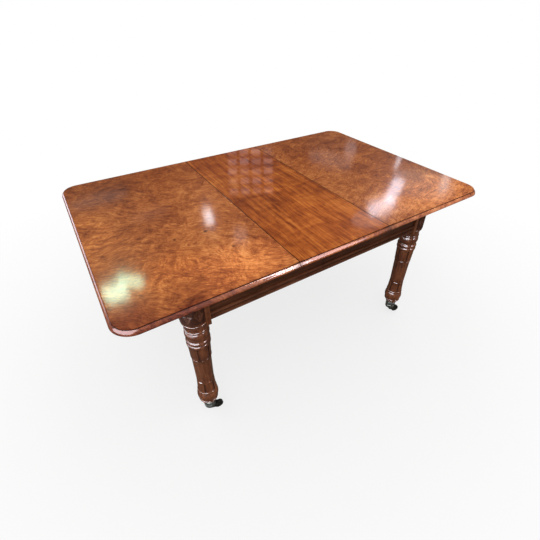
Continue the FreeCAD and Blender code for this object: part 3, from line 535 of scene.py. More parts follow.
# Closed outline of an end board at one inset: a straight, a round corner, the end, a round
# corner, a straight and the seam
def endOutline(inset, draw, sign):
    radius, side, seam = top["cornerRadius"] - inset, halfWidth - inset, seamX + draw
    centreX, centreY = endX - top["cornerRadius"], halfWidth - top["cornerRadius"]
    steps = top["straightSteps"]
    front = beside(np.linspace(seam, centreX, steps, endpoint=False), -side)
    angle = np.linspace(-pi / 2, 0, top["cornerSteps"] + 1)
    corner = beside(centreX + radius * np.cos(angle), -centreY + radius * np.sin(angle))
    end = beside(endX - inset, np.linspace(-centreY, centreY, steps)[1:-1])
    joint = beside(seam, np.linspace(side, -side, steps * 2)[1:-1])
    mirror = np.array([1, -1])
    outline = np.vstack([front, corner, end, corner[::-1] * mirror, front[::-1] * mirror, joint])
    return outline * np.array([sign, 1])


def leafOutline(inset, draw, _sign):
    side, reach, steps = halfWidth - inset, leafHalf - draw, top["straightSteps"]
    front = beside(np.linspace(-reach, reach, steps), -side)
    seam = beside(reach, np.linspace(-side, side, steps * 2)[1:-1])
    return np.vstack([front, seam, front[::-1] * np.array([1, -1]), seam[::-1] * np.array([-1, 1])])


# Blind round holes for dowels in the face of a seam, cut by cylinders that lie along X
def drillHoles(piece, seam):
    start = bpy.data.meshes.new("drill")
    build = bmesh.new()
    for row in (-1, 1):
        spot = Matrix.Translation((seam, row * top["dowelSpacing"] / 2, topZ - top["dowelDrop"]))
        bmesh.ops.create_cone(build, cap_ends=True, segments=top["dowelSides"],
                              radius1=top["dowelHole"], radius2=top["dowelHole"],
                              depth=2 * top["dowelDepth"],
                              matrix=spot @ Matrix.Rotation(pi / 2, 4, "Y"))
    build.to_mesh(start)
    build.free()
    drill = addObject("drill", start)
    cut = piece.modifiers.new("holes", "BOOLEAN")
    cut.operation = "DIFFERENCE"
    cut.object = drill
    cut.solver = "EXACT"
    graph = bpy.context.evaluated_depsgraph_get()
    holed = bpy.data.meshes.new_from_object(piece.evaluated_get(graph))
    piece.modifiers.clear()
    old = piece.data
    piece.data = holed
    bpy.data.meshes.remove(old)
    bpy.data.objects.remove(drill)
    bpy.data.meshes.remove(start)


# A board from the outline at each of its rows, with a dark line along its seams
def board(name, node, outlineAt, reach, sign, material, body, slot):
    rows = fieldRows()
    rings = [beside(*outlineAt(row[0], row[4], sign).T, row[1]) for row in rows]
    count = len(rings[0])
    points = np.vstack(rings)
    atSeam = np.abs(np.abs(points[:, 0]) - reach) < top["arris"] + top["seamSlack"]
    shares = (np.repeat(rows[:, 2], count), np.maximum(np.repeat(rows[:, 3], count), atSeam))
    return makePiece(name, points, tubeFaces(len(rows), count), material, body, slot, node,
                     top["sharp"], shares)


# A moulding's piece from its section at each station, with a dark line at both its ends
def edging(name, points, material, body, slot, node):
    _section, rim, shadeAndJoints = mouldingSection()
    stations, count = points.shape[:2]
    joint = np.zeros(stations)
    joint[[0, 1, -2, -1]] = top["jointDark"]
    shadeAndJoints = np.maximum(np.tile(shadeAndJoints, stations), np.repeat(joint, count))
    catchLight(makePiece(name, points, tubeFaces(stations, count), material, body, slot, node,
                         top["sharp"], (np.tile(rim, stations), shadeAndJoints)), "mouldings")


# The moulding round an end board: its section carried along the front, round both corners and
# along the back, each point at its own inset from the board's outline
def endMoulding(side, sign):
    section = mouldingSection()[0]
    radius = top["cornerRadius"]
    centreX, centreY = endX - radius, halfWidth - radius
    straight = np.linspace(seamX, centreX, top["straightSteps"], endpoint=False)[1:]
    run = np.concatenate([[seamX, seamX + top["jointLine"]], straight])
    angle = np.linspace(-pi / 2, 0, top["cornerSteps"] + 1)
    across = np.linspace(-centreY, centreY, top["straightSteps"])[1:-1]
    round_ = np.full_like(angle, centreX)
    base = np.vstack([beside(run, -centreY), beside(round_, -centreY), beside(centreX, across),
                      beside(round_, centreY), beside(run[::-1], centreY)])
    facing = np.concatenate([np.full(len(run), -pi / 2), angle, np.zeros(len(across)),
                             -angle[::-1], np.full(len(run), pi / 2)])
    out = beside(np.cos(facing), np.sin(facing))
    plan = base[:, None] + out[:, None] * (radius - section[None, :, :1])
    points = beside(plan[..., 0] * sign, plan[..., 1], section[:, 1])
    edging(f"board_moulding_{side}", points, boardWoods[side], f"{side}_half", "top_wood",
           f"top_{side}")


def leafMoulding(face, facing):
    section = mouldingSection()[0]
    inner = leafHalf - top["jointLine"]
    run = np.concatenate([[-leafHalf, -inner], np.linspace(*top["leafStations"]), [inner, leafHalf]])
    points = beside(run[:, None], facing * (halfWidth - section[:, 0]), section[:, 1])
    edging(f"leaf_moulding_{face}", points, leafWood, "leaf", "leaf_wood", "leaf_board")


for side, sign in sides.items():
    piece = board(f"end_board_{side}", f"top_{side}", endOutline, seamX, sign, boardWoods[side],
                  f"{side}_half", "top_wood")
    drillHoles(piece, sign * seamX)
    endMoulding(side, sign)
board("leaf_panel", "leaf_board", leafOutline, leafHalf, 1, leafWood, "leaf", "leaf_wood")
for face, facing in faces.items():
    leafMoulding(face, facing)
print("top made")


# Rails: one moulded section carried along a straight, scribed to the round of a leg
rail = {
    "beadRadius": 0.006, "beadGap": 0.008, "coveDepth": 0.003, "quirk": 0.002, "ease": 0.0009,
    "quirkEase": 0.0006, "plain": 0.02, "beadSteps": 12, "coveSteps": 6, "shoulder": 0.042,
    "back": 0.022, "backFrom": 0.001, "outside": 0.036, "runSteps": 8, "faceShadow": 0.4,
    "hollow": (0.0006, 0.004), "faceSlack": 0.0001, "sharp": 32.0,
}
legRound = 0.048
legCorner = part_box("leg_left_front")[1]
legX, legY = abs(legCorner.x - legRound), abs(legCorner.y - legRound)
railOuterX, railOuterY = legX + rail["outside"], legY + rail["outside"]
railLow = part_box("rail_left_front")[0].z


# The section as a closed line of (depth behind the face, height), beads standing out of it
def railSection():
    bead, quirk, steps = rail["beadRadius"], rail["quirk"], rail["beadSteps"]
    second = railLow + 2 * bead
    third = second + rail["beadGap"]
    fourth = third + 2 * bead
    plain = eased([(0, fourth + quirk + rail["plain"]), (0, fourth + quirk), (quirk, fourth + quirk),
                   (quirk, fourth)], rail["quirkEase"])
    upper = arcPoints((0, fourth), (-bead, third + bead), (0, third), steps)
    cove = arcPoints((0, third), (rail["coveDepth"], second + rail["beadGap"] / 2), (0, second),
                     rail["coveSteps"])
    lower = arcPoints((0, second), (-bead, railLow + bead), (0, railLow), steps)
    back = eased([(rail["backFrom"], railLow), (rail["back"], railLow), (rail["back"], underZ),
                  (rail["backFrom"], underZ)], rail["ease"])
    return np.vstack([[(0, underZ)], plain, upper, cove[1:-1], lower, back])


def railAlong(name, node, start, end, outer, sign, lengthwise, body, material, scribed):
    section = railSection()
    count, steps = len(section), rail["runSteps"]
    depth = sign * (outer - section[:, 0])
    rings = []
    for share in np.linspace(0, 1, steps):
        along = np.full(count, start + (end - start) * share)
        if share in scribed:
            centre, middle, inward = scribed[share]
            off = np.abs(depth) - middle
            round_ = np.sqrt(np.clip(legRound**2 - off**2, 0, None))
            along = np.where(np.abs(off) < legRound,
                             centre + inward * np.maximum(round_, rail["shoulder"]), along)
        plan = (along, depth) if lengthwise else (depth, along)
        rings.append(beside(*plan, section[:, 1]))
    # Painted shade: the dark colour fills the quirks behind the face, and the plain face above the beads
    # carries painted shadow of the top's overhang.
    hollowFrom, hollowTo = rail["hollow"]
    hollow = np.clip((section[:, 0] - hollowFrom) / rail["quirk"], 0, 1) * (section[:, 0] < hollowTo)
    plainFrom = railLow + 4 * rail["beadRadius"] + rail["beadGap"] + rail["quirk"]
    hollow = np.maximum(hollow, rail["faceShadow"] * (section[:, 1] > plainFrom - rail["faceSlack"]))
    makePiece(name, np.vstack(rings), tubeFaces(steps, count), material, body, "rail_wood", node,
              rail["sharp"], (0.0, np.tile(hollow, steps)))


for side, sign in sides.items():
    half = f"{side}_half"
    for face, facing in faces.items():
        railAlong(f"side_rail_{side}_{face}", f"rail_{side}_{face}", sign * seamX,
                  sign * (legX - rail["shoulder"]), railOuterY, facing, True, half, railWood,
                  {1.0: (sign * legX, legY, -sign)})
    reach = legY - rail["shoulder"]
    railAlong(f"end_rail_face_{side}", f"end_rail_{side}", -reach, reach, railOuterX, sign, False,
              half, endRailWood, {0.0: (-legY, legX, 1), 1.0: (legY, legX, -1)})
for face, facing in faces.items():
    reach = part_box(f"rail_leaf_{face}")[1].x
    railAlong(f"leaf_rail_{face}", f"rail_leaf_{face}", -reach, reach, railOuterY, facing, True,
              "leaf", railWood, {})
print("rails made")


# Turned legs with two collars of lappets and a six-sided shaft. A row of "turned" is a point, as
# shares of the leg's radius and height, and in an arc's row the arc's middle follows it.
leg = {
    "turned": (
        (0.542, 0.0), (0.688, 0.024), (0.708, 0.027), (0.75, 0.04, 0.792, 0.033),
        (0.745, 0.043), (0.74, 0.116, 0.865, 0.077), (0.73, 0.12),
        (0.745, 0.135, 0.792, 0.1275), (0.765, 0.137), (0.729, 0.164), (0.698, 0.228),
        (0.688, 0.23), (0.745, 0.446), (0.77, 0.448), (0.778, 0.456, 0.797, 0.452),
        (0.833, 0.56),
        (0.823, 0.586, 0.896, 0.573), (0.823, 0.614, 0.896, 0.6), (0.8, 0.622),
        (0.812, 0.629), (0.812, 0.682, 0.906, 0.6555), (0.823, 0.686),
        (0.823, 0.698, 0.875, 0.692), (0.833, 0.702), (0.906, 0.742, 0.848, 0.727),
        (0.927, 0.744), (0.927, 0.753, 0.969, 0.7485), (0.945, 0.757),
    ),
    "foot": 0.088, "arcSteps": 10, "drumLow": 0.558, "drumEase": 0.0008, "drumPlain": 0.01,
    "lappets": 6, "slit": 0.0032, "chipShare": 0.3, "flareShare": 0.3, "pastShare": 0.06,
    "edge": 0.0006, "collars": ((0.449, 0.556, 0.0364, False), (0.137, 0.228, 0.0326, True)),
    "shaft": (0.23, 0.446), "flat": (0.0309, 0.0336), "flatEdge": 0.0008, "ringStep": 0.0016,
    # painted shade: hollows of the turning, chip rims and floors, carved stars, and the drum under the top
    "hollowReach": 0.0035, "hollowDepth": 0.0011, "chipCutShade": 0.0012, "chipRimShade": 0.0016,
    "chipFloorShade": 0.55, "stars": (-47.0, 0.0, 47.0), "starLevel": 0.602, "starTall": 0.036,
    "starWide": 23.0, "starDepth": 0.006, "starPower": 0.85, "starRings": 41,
    "starShade": (0.06, 0.36, 0.6), "drumShade": 0.88, "drumShadeFrom": 0.003, "drumShadeOver": 0.006,
    "deepestShade": 0.9, "sharp": 34.0,
    "sector": (0, 0.9, 1.7, 2.2, 2.7, 3.3, 4.2, 5.6, 7.2, 8.8, 10.4, 12, 13.6, 15.2, 16.8,
               18.4, 20, 21.6, 23.4, 25.4, 27.6),
}


def legLevel(share):
    return leg["foot"] + (underZ - leg["foot"]) * share


# Radius of the turning at each height, from its table of points and arcs
def turnedLine():
    line = []
    for row in leg["turned"]:
        point = np.array([legRound * row[0], legLevel(row[1])])
        if len(row) == 4:
            middle = (legRound * row[2], legLevel(row[3]))
            line.extend(arcPoints(line[-1], middle, point, leg["arcSteps"])[1:])
        else:
            line.append(point)
    low, ease = leg["drumLow"], leg["drumEase"]
    return np.vstack([line, [(legRound - ease, low), (legRound, low + ease), (legRound, underZ)]])


def smoothStep(value):
    value = np.clip(value, 0, 1)
    return value * value * (3 - 2 * value)


# Half the width of the chip between two lappets at a share of the way from its tip to its root
def chipHalf(share):
    wide, slit = legRound * leg["chipShare"], leg["slit"] / 2
    flare = np.clip(share / leg["flareShare"], 0, 1)
    return slit + (wide - slit) * (1 - np.sqrt(1 - (1 - flare)**2))


# The leg's surface: radius = the turning, and where a chip or flat lies, the smaller of the
# turning and that plane's distance over the cosine of the angle from its middle. Each carved
# star sinks by its depth times one less the sum of both distances to its middle to a power.
# The shade it returns is painted: darker in the turning's hollows, along the chips' rims and on their floors,
# inside the carved stars and over the drum under the top.
def legSurface(outward):
    line = turnedLine()
    heights = [line[:, 1]]
    heights += [np.linspace(low, high, max(2, int((high - low) / leg["ringStep"])), endpoint=False)
                for low, high in zip(line[:-1, 1], line[1:, 1])
                if high < leg["drumLow"] + leg["drumPlain"] and high - low > leg["ringStep"]]
    heights.append(np.linspace(leg["starLevel"] - leg["starTall"], leg["starLevel"] + leg["starTall"],
                               leg["starRings"]))
    z = np.unique(np.round(np.concatenate(heights), 6))
    level = z[:, None]
    half = np.array(leg["sector"])
    sector = np.concatenate([half, [30], 60 - half[:0:-1]])
    theta = np.radians(np.concatenate([sector + 60 * k for k in range(leg["lappets"])]))
    local = np.radians(np.tile((sector + 30) % 60 - 30, leg["lappets"]))
    bare = np.interp(z, line[:, 1], line[:, 0])
    # painted shade in the turning's hollows, where it lies below its smoothed line
    near = np.exp(-((level - z) / leg["hollowReach"])**2) * np.gradient(z)
    around = near @ bare / near.sum(1)
    shadow = np.clip((around - bare) / leg["hollowDepth"], 0, 1)[:, None] * np.ones(len(theta))
    radius = np.repeat(bare[:, None], len(theta), 1)
    for low, high, core, pointUp in leg["collars"]:
        bottom, topLevel = legLevel(low), legLevel(high)
        tip, root = (topLevel, bottom) if pointUp else (bottom, topLevel)
        share = (level - tip) / (root - tip)
        plane = core / np.cos(local)
        across = np.abs(core * np.tan(local))
        room = np.minimum(chipHalf(share) - across,
                          np.minimum(share + leg["pastShare"], 1 - share) * abs(root - tip))
        depth = smoothStep(room / (2 * leg["edge"]) + 0.5)
        # painted shade along each chip's rim and over its floor
        cut = np.clip((radius - plane) / leg["chipCutShade"], 0, 1)
        rimmed = np.exp(-(room / leg["chipRimShade"])**2)
        shadow = np.maximum(shadow, cut * np.maximum(rimmed, depth * leg["chipFloorShade"]))
        radius = radius * (1 - depth) + np.minimum(radius, plane) * depth
    low, high = (legLevel(share) for share in leg["shaft"])
    share = (level - low) / (high - low)
    flatAt = leg["flat"][0] + (leg["flat"][1] - leg["flat"][0]) * share
    plane = flatAt / np.cos(np.radians(np.tile(sector - 30, leg["lappets"])))
    inside = smoothStep(np.minimum(share, 1 - share) * (high - low) / leg["flatEdge"] + 0.5)
    radius = radius * (1 - inside) + np.minimum(radius, plane) * inside
    carved = np.zeros_like(radius)
    starRim, starShade, starSlope = leg["starShade"]
    for star in leg["stars"]:
        away = (np.degrees(theta) - outward - star + 180) % 360 - 180
        reach = (np.abs(away / leg["starWide"])**leg["starPower"]
                 + np.abs((level - leg["starLevel"]) / leg["starTall"])**leg["starPower"])
        sunk = np.clip(1 - reach, 0, 1)
        radius = radius - leg["starDepth"] * sunk
        # painted shade in the carving, darkest at its outline and darker the deeper inside
        shade = np.where(sunk < starRim, 1.0, starShade + starSlope * sunk)
        carved = np.maximum(carved, np.where(sunk > 0, shade, 0.0))
    # painted shadow of the top over the whole drum
    drumShaded = leg["drumShade"] * np.clip((level - leg["drumLow"] - leg["drumShadeFrom"]) / leg["drumShadeOver"], 0, 1)
    shadow = np.maximum(shadow, np.where(carved > 0, carved, drumShaded))
    return beside(radius * np.cos(theta), radius * np.sin(theta), level), shadow * leg["deepestShade"]


corners = [(side, sign, face, facing) for side, sign in sides.items() for face, facing in faces.items()]
for side, sign, face, facing in corners:
    grid, shade = legSurface(degrees(atan2(facing, sign)))
    piece = makePiece(f"turned_leg_{side}_{face}", grid + np.array([sign * legX, facing * legY, 0]),
                      tubeFaces(*shade.shape), legWood, f"{side}_half", "leg_wood",
                      f"leg_{side}_{face}", leg["sharp"], (0.0, shade.ravel()))
    catchLight(piece, "turnings")
print("legs made:", shade.shape[0], "rings of", shade.shape[1])


# Points and faces of several closed shapes as one
def joined(shapes):
    points = []
    polygons = []
    shift = 0
    for shape, quads in shapes:
        points.append(shape)
        polygons.extend([corner + shift for corner in quad] for quad in quads)
        shift += len(shape)
    return np.vstack(points), polygons


# A round head with a slot: height falls with the square of the radius, less the slot's depth
# within half its width of one line across
screw = {"rings": (0.0, 0.25, 0.45, 0.65, 0.82, 0.93, 1.0), "around": 48, "fall": 0.55,
         "slotDepth": 0.45, "slotHalf": 0.13, "seat": 0.0004}


def screwHead(centre, axis, radius, height, slotTurn):
    share = np.array(screw["rings"])[:, None]
    angle = aroundIn(screw["around"])
    slot = np.abs(share * radius * np.sin(angle - slotTurn)) < radius * screw["slotHalf"]
    rise = height * (1 - screw["fall"] * share**2) - screw["slotDepth"] * height * slot
    rise[0] = rise[0].min()
    r = np.vstack([share * radius, [[radius], [0.0]]])
    z = np.vstack([rise, np.full((2, len(angle)), -screw["seat"])])
    return aimed(beside(r * np.cos(angle), r * np.sin(angle), z), centre, axis), ringQuads(len(r), len(angle))


# Castors: a cup with a rolled rim, an incised line and two screws, and a wheel with a hub
castor = {
    "cupLow": 0.045, "cupHigh": 0.088, "cupRadius": 0.026, "taper": 0.003, "bead": 0.002,
    "beadBulge": 0.3, "arcSteps": 5, "brimSteps": 12, "brimCut": (0.0004, 0.0006),
    "bore": 0.00505, "line": 0.42, "lineDepth": 0.0006, "lineHalf": 0.0012,
    "screwAt": 0.7, "screwTurn": 60, "screwRadius": 0.0026, "screwRise": 0.001,
    "screwSunk": 0.0001, "slotTurn": 0.6,
    "cupSides": 64, "wheelRadius": 0.019, "half": 0.007, "edge": 0.0032, "edgeBulge": 0.29,
    "wheelBore": 0.00305, "hub": 0.0068, "hubEase": 0.0006, "sunk": 0.0022, "rim": 0.0125,
    "rimEase": 0.0008, "treadSteps": 6, "wheelSides": 64, "sharp": 30.0,
}


def cupShape(x, y):
    low, high = castor["cupLow"], castor["cupHigh"]
    radius, bead, line = castor["cupRadius"], castor["bead"], castor["lineHalf"]
    bottom, brim = radius - castor["taper"], radius - bead / 2
    rimLow = high - 2 * bead
    lineZ = low + bead + castor["line"] * (rimLow - low - bead)
    screwZ = low + bead + castor["screwAt"] * (rimLow - low - bead)

    def wallAt(z):
        return bottom + (brim - bottom) * (z - low - bead) / (rimLow - low - bead)

    groove = [(wallAt(lineZ + step) - castor["lineDepth"] * (step == 0), lineZ + step)
              for step in (-line, -line / 2, 0.0, line / 2, line)]
    bulge = bead * castor["beadBulge"]
    cut, deep = castor["brimCut"]
    profile = np.vstack([
        [(castor["bore"], low), (bottom - bead, low)],
        arcPoints((bottom - bead, low), (bottom - bulge, low + bulge), (bottom, low + bead),
                  castor["arcSteps"])[1:],
        groove, [(brim - cut, rimLow - deep), (brim - deep, rimLow)],
        arcPoints((brim, rimLow), (radius + bead / 2, rimLow + bead), (brim, high),
                  castor["brimSteps"]),
        [(castor["bore"], high)]])
    shapes = [turning(profile, (x, y, 0), (0, 0, 1), castor["cupSides"])]
    for half in (0, pi):
        angle = radians(castor["screwTurn"]) + half
        out = np.array([cos(angle), sin(angle), 0])
        seat = np.array([x, y, screwZ]) + out * (wallAt(screwZ) - castor["screwSunk"])
        shapes.append(screwHead(seat, out, castor["screwRadius"], castor["screwRise"],
                                angle + castor["slotTurn"]))
    return joined(shapes)


def wheelShape(centre, axis):
    radius, half, edge = castor["wheelRadius"], castor["half"], castor["edge"]
    hub, hubEase, rim, rimEase = castor["hub"], castor["hubEase"], castor["rim"], castor["rimEase"]
    sunk = half - castor["sunk"]
    bulge = edge * castor["edgeBulge"]
    upper = np.vstack([
        [(castor["wheelBore"], half), (hub - hubEase, half), (hub, half - hubEase), (hub + hubEase, sunk),
         (rim - rimEase, sunk), (rim, half - rimEase), (rim + rimEase, half)],
        arcPoints((radius - edge, half), (radius - bulge, half - bulge), (radius, half - edge),
                  castor["treadSteps"])])
    return turning(np.vstack([upper, upper[::-1] * np.array([1, -1])]), centre, axis,
                   castor["wheelSides"])


rollAxes = {joint["name"]: joint["axis"] for joint in frame["record"]["behaviour"]["joints"]}
for side, sign, face, facing in corners:
    corner = f"{side}_{face}"
    piece = makePiece(f"castor_cup_{corner}", *cupShape(sign * legX, facing * legY),
                      metals["cupBrass"], f"{side}_half", "castor_brass", f"cup_{corner}",
                      castor["sharp"])
    catchLight(piece, "turnings")
    low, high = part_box(f"wheel_{corner}")
    makePiece(f"castor_wheel_{corner}", *wheelShape((low + high) / 2, rollAxes[f"roll_{corner}"]),
              metals["wheelIron"], f"wheel_body_{corner}", "wheel_iron", f"wheel_{corner}",
              castor["sharp"])
print("castors made")


# Winding screw along X: radius by place, with a thread that dips with the share of its pitch
winding = {
    "axisZ": underZ - 0.043, "start": -0.57, "tang": 0.014, "tangHalf": 0.006, "tangCorner": 0.0078,
    "radius": 0.01, "collar": (-0.5475, -0.5375), "collarRadius": 0.018, "threadStart": -0.52,
    "end": 0.073, "lead": 0.016, "starts": 2, "depth": 0.0017, "flank": 0.0012, "step": 0.001,
    "runIn": 0.02, "chamfer": 0.001, "endMargin": 0.0015, "hair": 1e-5, "around": 40, "sharp": 30.0,
}


def windingSurface():
    start, end, step, threadStart = (winding[key] for key in ("start", "end", "step", "threadStart"))
    chamfer, hair = winding["chamfer"], winding["hair"]
    collarLow, collarHigh = winding["collar"]
    x = np.concatenate([
        [start - winding["tang"], start - winding["tang"] + chamfer, start - hair, start,
         collarLow - hair, collarLow, collarLow + chamfer, collarHigh - chamfer, collarHigh,
         collarHigh + hair, threadStart],
        np.arange(threadStart + step, end - winding["endMargin"], step), [end - chamfer, end]])
    place = x[:, None]
    angle = aroundIn(winding["around"])
    square = winding["tangHalf"] / np.maximum(np.abs(np.cos(angle)), np.abs(np.sin(angle)))
    square = np.minimum(square, winding["tangCorner"])
    turns = (place / winding["lead"] - angle / (2 * pi)) * winding["starts"]
    pitch = winding["lead"] / winding["starts"]
    fromCrest = np.abs((turns % 1.0) - 0.5) * pitch
    dip = smoothStep((fromCrest - pitch / 4) / winding["flank"] + 0.5) * winding["depth"]
    radius = winding["radius"] - dip * smoothStep((place - threadStart) / winding["runIn"])
    collar = winding["collarRadius"]
    radius = np.where((place >= collarLow) & (place <= collarHigh), collar, radius)
    trimmed = np.minimum(np.abs(place - collarLow), np.abs(place - collarHigh)) < hair / 100
    radius = np.where(trimmed, collar - chamfer, radius)
    radius = np.where(place < start, square, radius)
    radius = radius - chamfer * ((place < x[1]) | (place > x[-2]))
    return beside(place, radius * np.cos(angle), winding["axisZ"] + radius * np.sin(angle))


grid = windingSurface()
makePiece("threaded_screw", grid, tubeFaces(*grid.shape[:2]), metals["screwSteel"], "screw",
          "screw_steel", "winding_screw", winding["sharp"])

# Escutcheon round the crank hole: a turned plate with three slotted screws
escutcheon = {
    # edge: inset from the outer radius and share of the thickness, from the back to the face
    "edge": ((0.0, 0.35), (0.0006, 0.62), (0.002, 0.72), (0.0024, 0.9)), "arcSteps": 5,
    # holeEdge: step out from the hole and drop from the face's full height
    "holeEdge": ((0.001, 0.0003), (0.0003, 0.0006), (0.0, 0.0012)), "faceInset": 0.003,
    "faceDrop": 0.0003, "hole": 0.014, "radius": 0.026, "thick": 0.004, "sides": 96, "screws": 3,
    "screwAt": 0.0196, "screwRadius": 0.003, "screwRise": 0.0003, "slotTurn": 1.7, "sharp": 30.0,
}


def escutcheonShape(seat):
    hole, radius, thick = escutcheon["hole"], escutcheon["radius"], escutcheon["thick"]
    low, middle, high, crest = ((radius - inset, thick * share) for inset, share in escutcheon["edge"])
    face = thick - escutcheon["faceDrop"]
    profile = np.vstack([
        [(hole, 0), (radius, 0), low], arcPoints(low, middle, high, escutcheon["arcSteps"])[1:],
        [crest, (radius - escutcheon["faceInset"], face)],
        [(hole + step, thick - drop) for step, drop in escutcheon["holeEdge"]]])
    shapes = [turning(profile, seat, (-1, 0, 0), escutcheon["sides"])]
    for index in range(escutcheon["screws"]):
        angle = pi / 2 + index * 2 * pi / escutcheon["screws"]
        out = np.array([-face, cos(angle) * escutcheon["screwAt"],
                        sin(angle) * escutcheon["screwAt"]])
        shapes.append(screwHead(seat + out, (-1, 0, 0), escutcheon["screwRadius"],
                                escutcheon["screwRise"], angle * escutcheon["slotTurn"]))
    return joined(shapes)


makePiece("crank_escutcheon", *escutcheonShape(np.array([-railOuterX, 0, winding["axisZ"]])),
          metals["plateBrass"], "left_half", "plate_brass", "crank_plate", escutcheon["sharp"])
print("screw and escutcheon made")


# CAD nodes that keep their shape, by how their names start
keptFinishes = {
    ("strip_", "end_strip_"): stripWood, ("cross_rail", "nut_rail"): crossWood,
    ("slide_", "dowel_"): frameWood, ("horn_",): metals["hornBrass"],
    ("screw_nut",): metals["plateBrass"], ("axle_",): metals["screwSteel"],
}
for name, node in nodes.items():
    for starts, material in keptFinishes.items():
        if name.startswith(starts):
            node.data.materials[0] = material


# Camera at the photograph's angle: place, turn from +Y towards +X, tilt down, roll, focal
# length in pixels of the frame and the optical axis in it
camera = {
    "place": (-0.7575, -1.1924, 1.4167), "turn": 32.74, "down": 36.62, "roll": -0.17,
    "focal": 353.48, "axis": (272.59, 255.31), "frame": 540, "sensor": 36.0, "clip": 60.0,
}
turn, down, roll = (radians(camera[key]) for key in ("turn", "down", "roll"))
ahead = Vector((sin(turn) * cos(down), cos(turn) * cos(down), -sin(down)))
right = Vector((cos(turn), -sin(turn), 0))
below = ahead.cross(right)
rightRolled = cos(roll) * right + sin(roll) * below
belowRolled = -sin(roll) * right + cos(roll) * below
lensData = bpy.data.cameras.new("camera")
lensData.sensor_width = camera["sensor"]
lensData.lens = camera["focal"] / camera["frame"] * camera["sensor"]
lensData.shift_x = (camera["frame"] / 2 - camera["axis"][0]) / camera["frame"]
lensData.shift_y = (camera["axis"][1] - camera["frame"] / 2) / camera["frame"]
lensData.clip_end = camera["clip"]
viewer = addObject("camera", lensData)
axes = Matrix((rightRolled, -belowRolled, -ahead)).transposed().to_4x4()
viewer.matrix_world = Matrix.Translation(camera["place"]) @ axes
scene.camera = viewer


# Studio: a white world to the camera, soft light from all round and one broad soft lamp. The
# shines are lamps that only show in the polish, as a room's windows do.
studio = {
    "light": 0.84, "horizon": (0.27, 0.255, 0.245), "overhead": (0.03, 0.026, 0.025),
    "skyRange": (0.06, 0.3), "floorSize": 14.0, "floorSeen": (0.93, 0.93, 0.93, 1.0),
    "floorBounce": (0.16, 0.128, 0.105, 1.0), "floorWhite": 0.7, "floorNear": 1.0,
    "floorFar": 2.2, "floorDrop": 0.0004, "shineLevel": 0.73,
}
softLamp = {"place": (-1.6, -2.6, 4.2), "target": (0.0, 0.0, 0.5), "size": 2.6, "radiance": 1.5}
shines = {
    # name: point it shines in, direction from there, distance, width, height, roll, radiance, colour
    "windowLow": ((-0.731, -0.294), (0.023, 0.78, 0.626), 3.4, 0.25, 0.2, 0, 24.0, (0.62, 1.0, 0.72)),
    "windowHigh": ((-0.674, -0.261), (0.066, 0.788, 0.612), 3.4, 0.27, 0.13, -25, 19.0, (0.62, 1.0, 0.68)),
    "spot": ((-0.326, -0.062), (0.31, 0.808, 0.502), 3.2, 0.1, 0.18, 14, 13.0, (0.96, 0.96, 1.0)),
    "spotGhost": ((-0.293, -0.258), (0.372, 0.748, 0.55), 3.0, 0.16, 0.2, 0, 1.6, (1.0, 0.9, 0.9)),
    "streakLow": ((0.287, -0.372), (0.698, 0.549, 0.459), 3.0, 0.31, 0.15, 35, 8.0, (0.8, 0.84, 1.0)),
    "streakMid": ((0.441, -0.301), (0.729, 0.542, 0.418), 3.0, 0.13, 0.28, -14, 7.2, (0.78, 0.83, 1.0)),
    "streakTop": ((0.723, -0.075), (0.749, 0.565, 0.347), 3.0, 0.05, 0.2, -8, 4.0, (0.92, 0.93, 1.0)),
    "rightGlow": ((0.716, -0.356), (0.806, 0.457, 0.376), 3.0, 0.1, 0.3, 0, 2.1, (1.0, 0.97, 0.96)),
}
hazes = {
    # the same, for dim round glows with no edge
    "farHaze": ((-0.66, 0.3), (0.06, 0.905, 0.42), 3.2, 0.75, 0.12, 4, 0.45, (1.0, 0.94, 0.88)),
    "midHaze": ((-0.51, 0.06), (0.168, 0.864, 0.474), 3.2, 0.5, 0.1, 8, 0.3, (1.0, 0.95, 0.9)),
    "streakTail": ((0.2, -0.42), (0.668, 0.56, 0.49), 3.0, 0.44, 0.24, 20, 0.7, (1.0, 0.84, 0.84)),
    "rightNear": ((0.6, -0.4), (0.77, 0.51, 0.39), 3.0, 0.7, 0.36, 0, 0.7, (1.0, 0.9, 0.8)),
    "rightHaze": ((0.43, 0.113), (0.627, 0.689, 0.363), 3.0, 0.6, 0.2, -10, 0.38, (1.0, 0.92, 0.9)),
    "rightFar": ((0.615, 0.164), (0.67, 0.662, 0.335), 3.0, 0.16, 0.24, 0, 0.55, (0.95, 0.93, 1.0)),
}
sideWindows = {
    # the same with a height of their own, for tall windows that only one group of pieces shows
    "edgeWhite": ((-0.2, -0.495, 0.722), (0.5, -0.814, 0.52), 3.0, 0.44, 3.8, -12, 30.0, (1.0, 0.92, 0.98)),
    "edgePink": ((0.02, -0.495, 0.722), (0.6, -0.752, 0.5), 3.2, 0.8, 3.8, -12, 10.0, (1.0, 0.7, 0.7)),
    "leftWall": ((-0.55, -0.4, 0.5), (-0.636, -0.493, 0.594), 1.6, 2.4, 2.6, 0, 20.0, (0.86, 0.9, 1.0)),
    "leftRear": ((-0.55, -0.4, 0.5), (-0.92, 0.38, 0.62), 1.6, 1.9, 2.2, 0, 13.0, (0.88, 0.91, 1.0)),
    "leftFloor": ((-2.45, -0.7, 1.0), (0.0, 0.0, -1.0), 0.99, 1.6, 3.2, 0, 7.0, (0.86, 0.89, 1.0)),
    "leftSill": ((-0.65, -0.45, 0.7), (-0.8, -0.3, 0.6), 1.6, 2.6, 2.3, 0, 11.0, (0.97, 0.92, 1.0)),
    "backLeft": ((-0.77, 0.0, 0.722), (-0.49, 0.838, 0.24), 2.9, 1.5, 1.7, 0, 4.0, (0.93, 0.86, 1.0)),
}
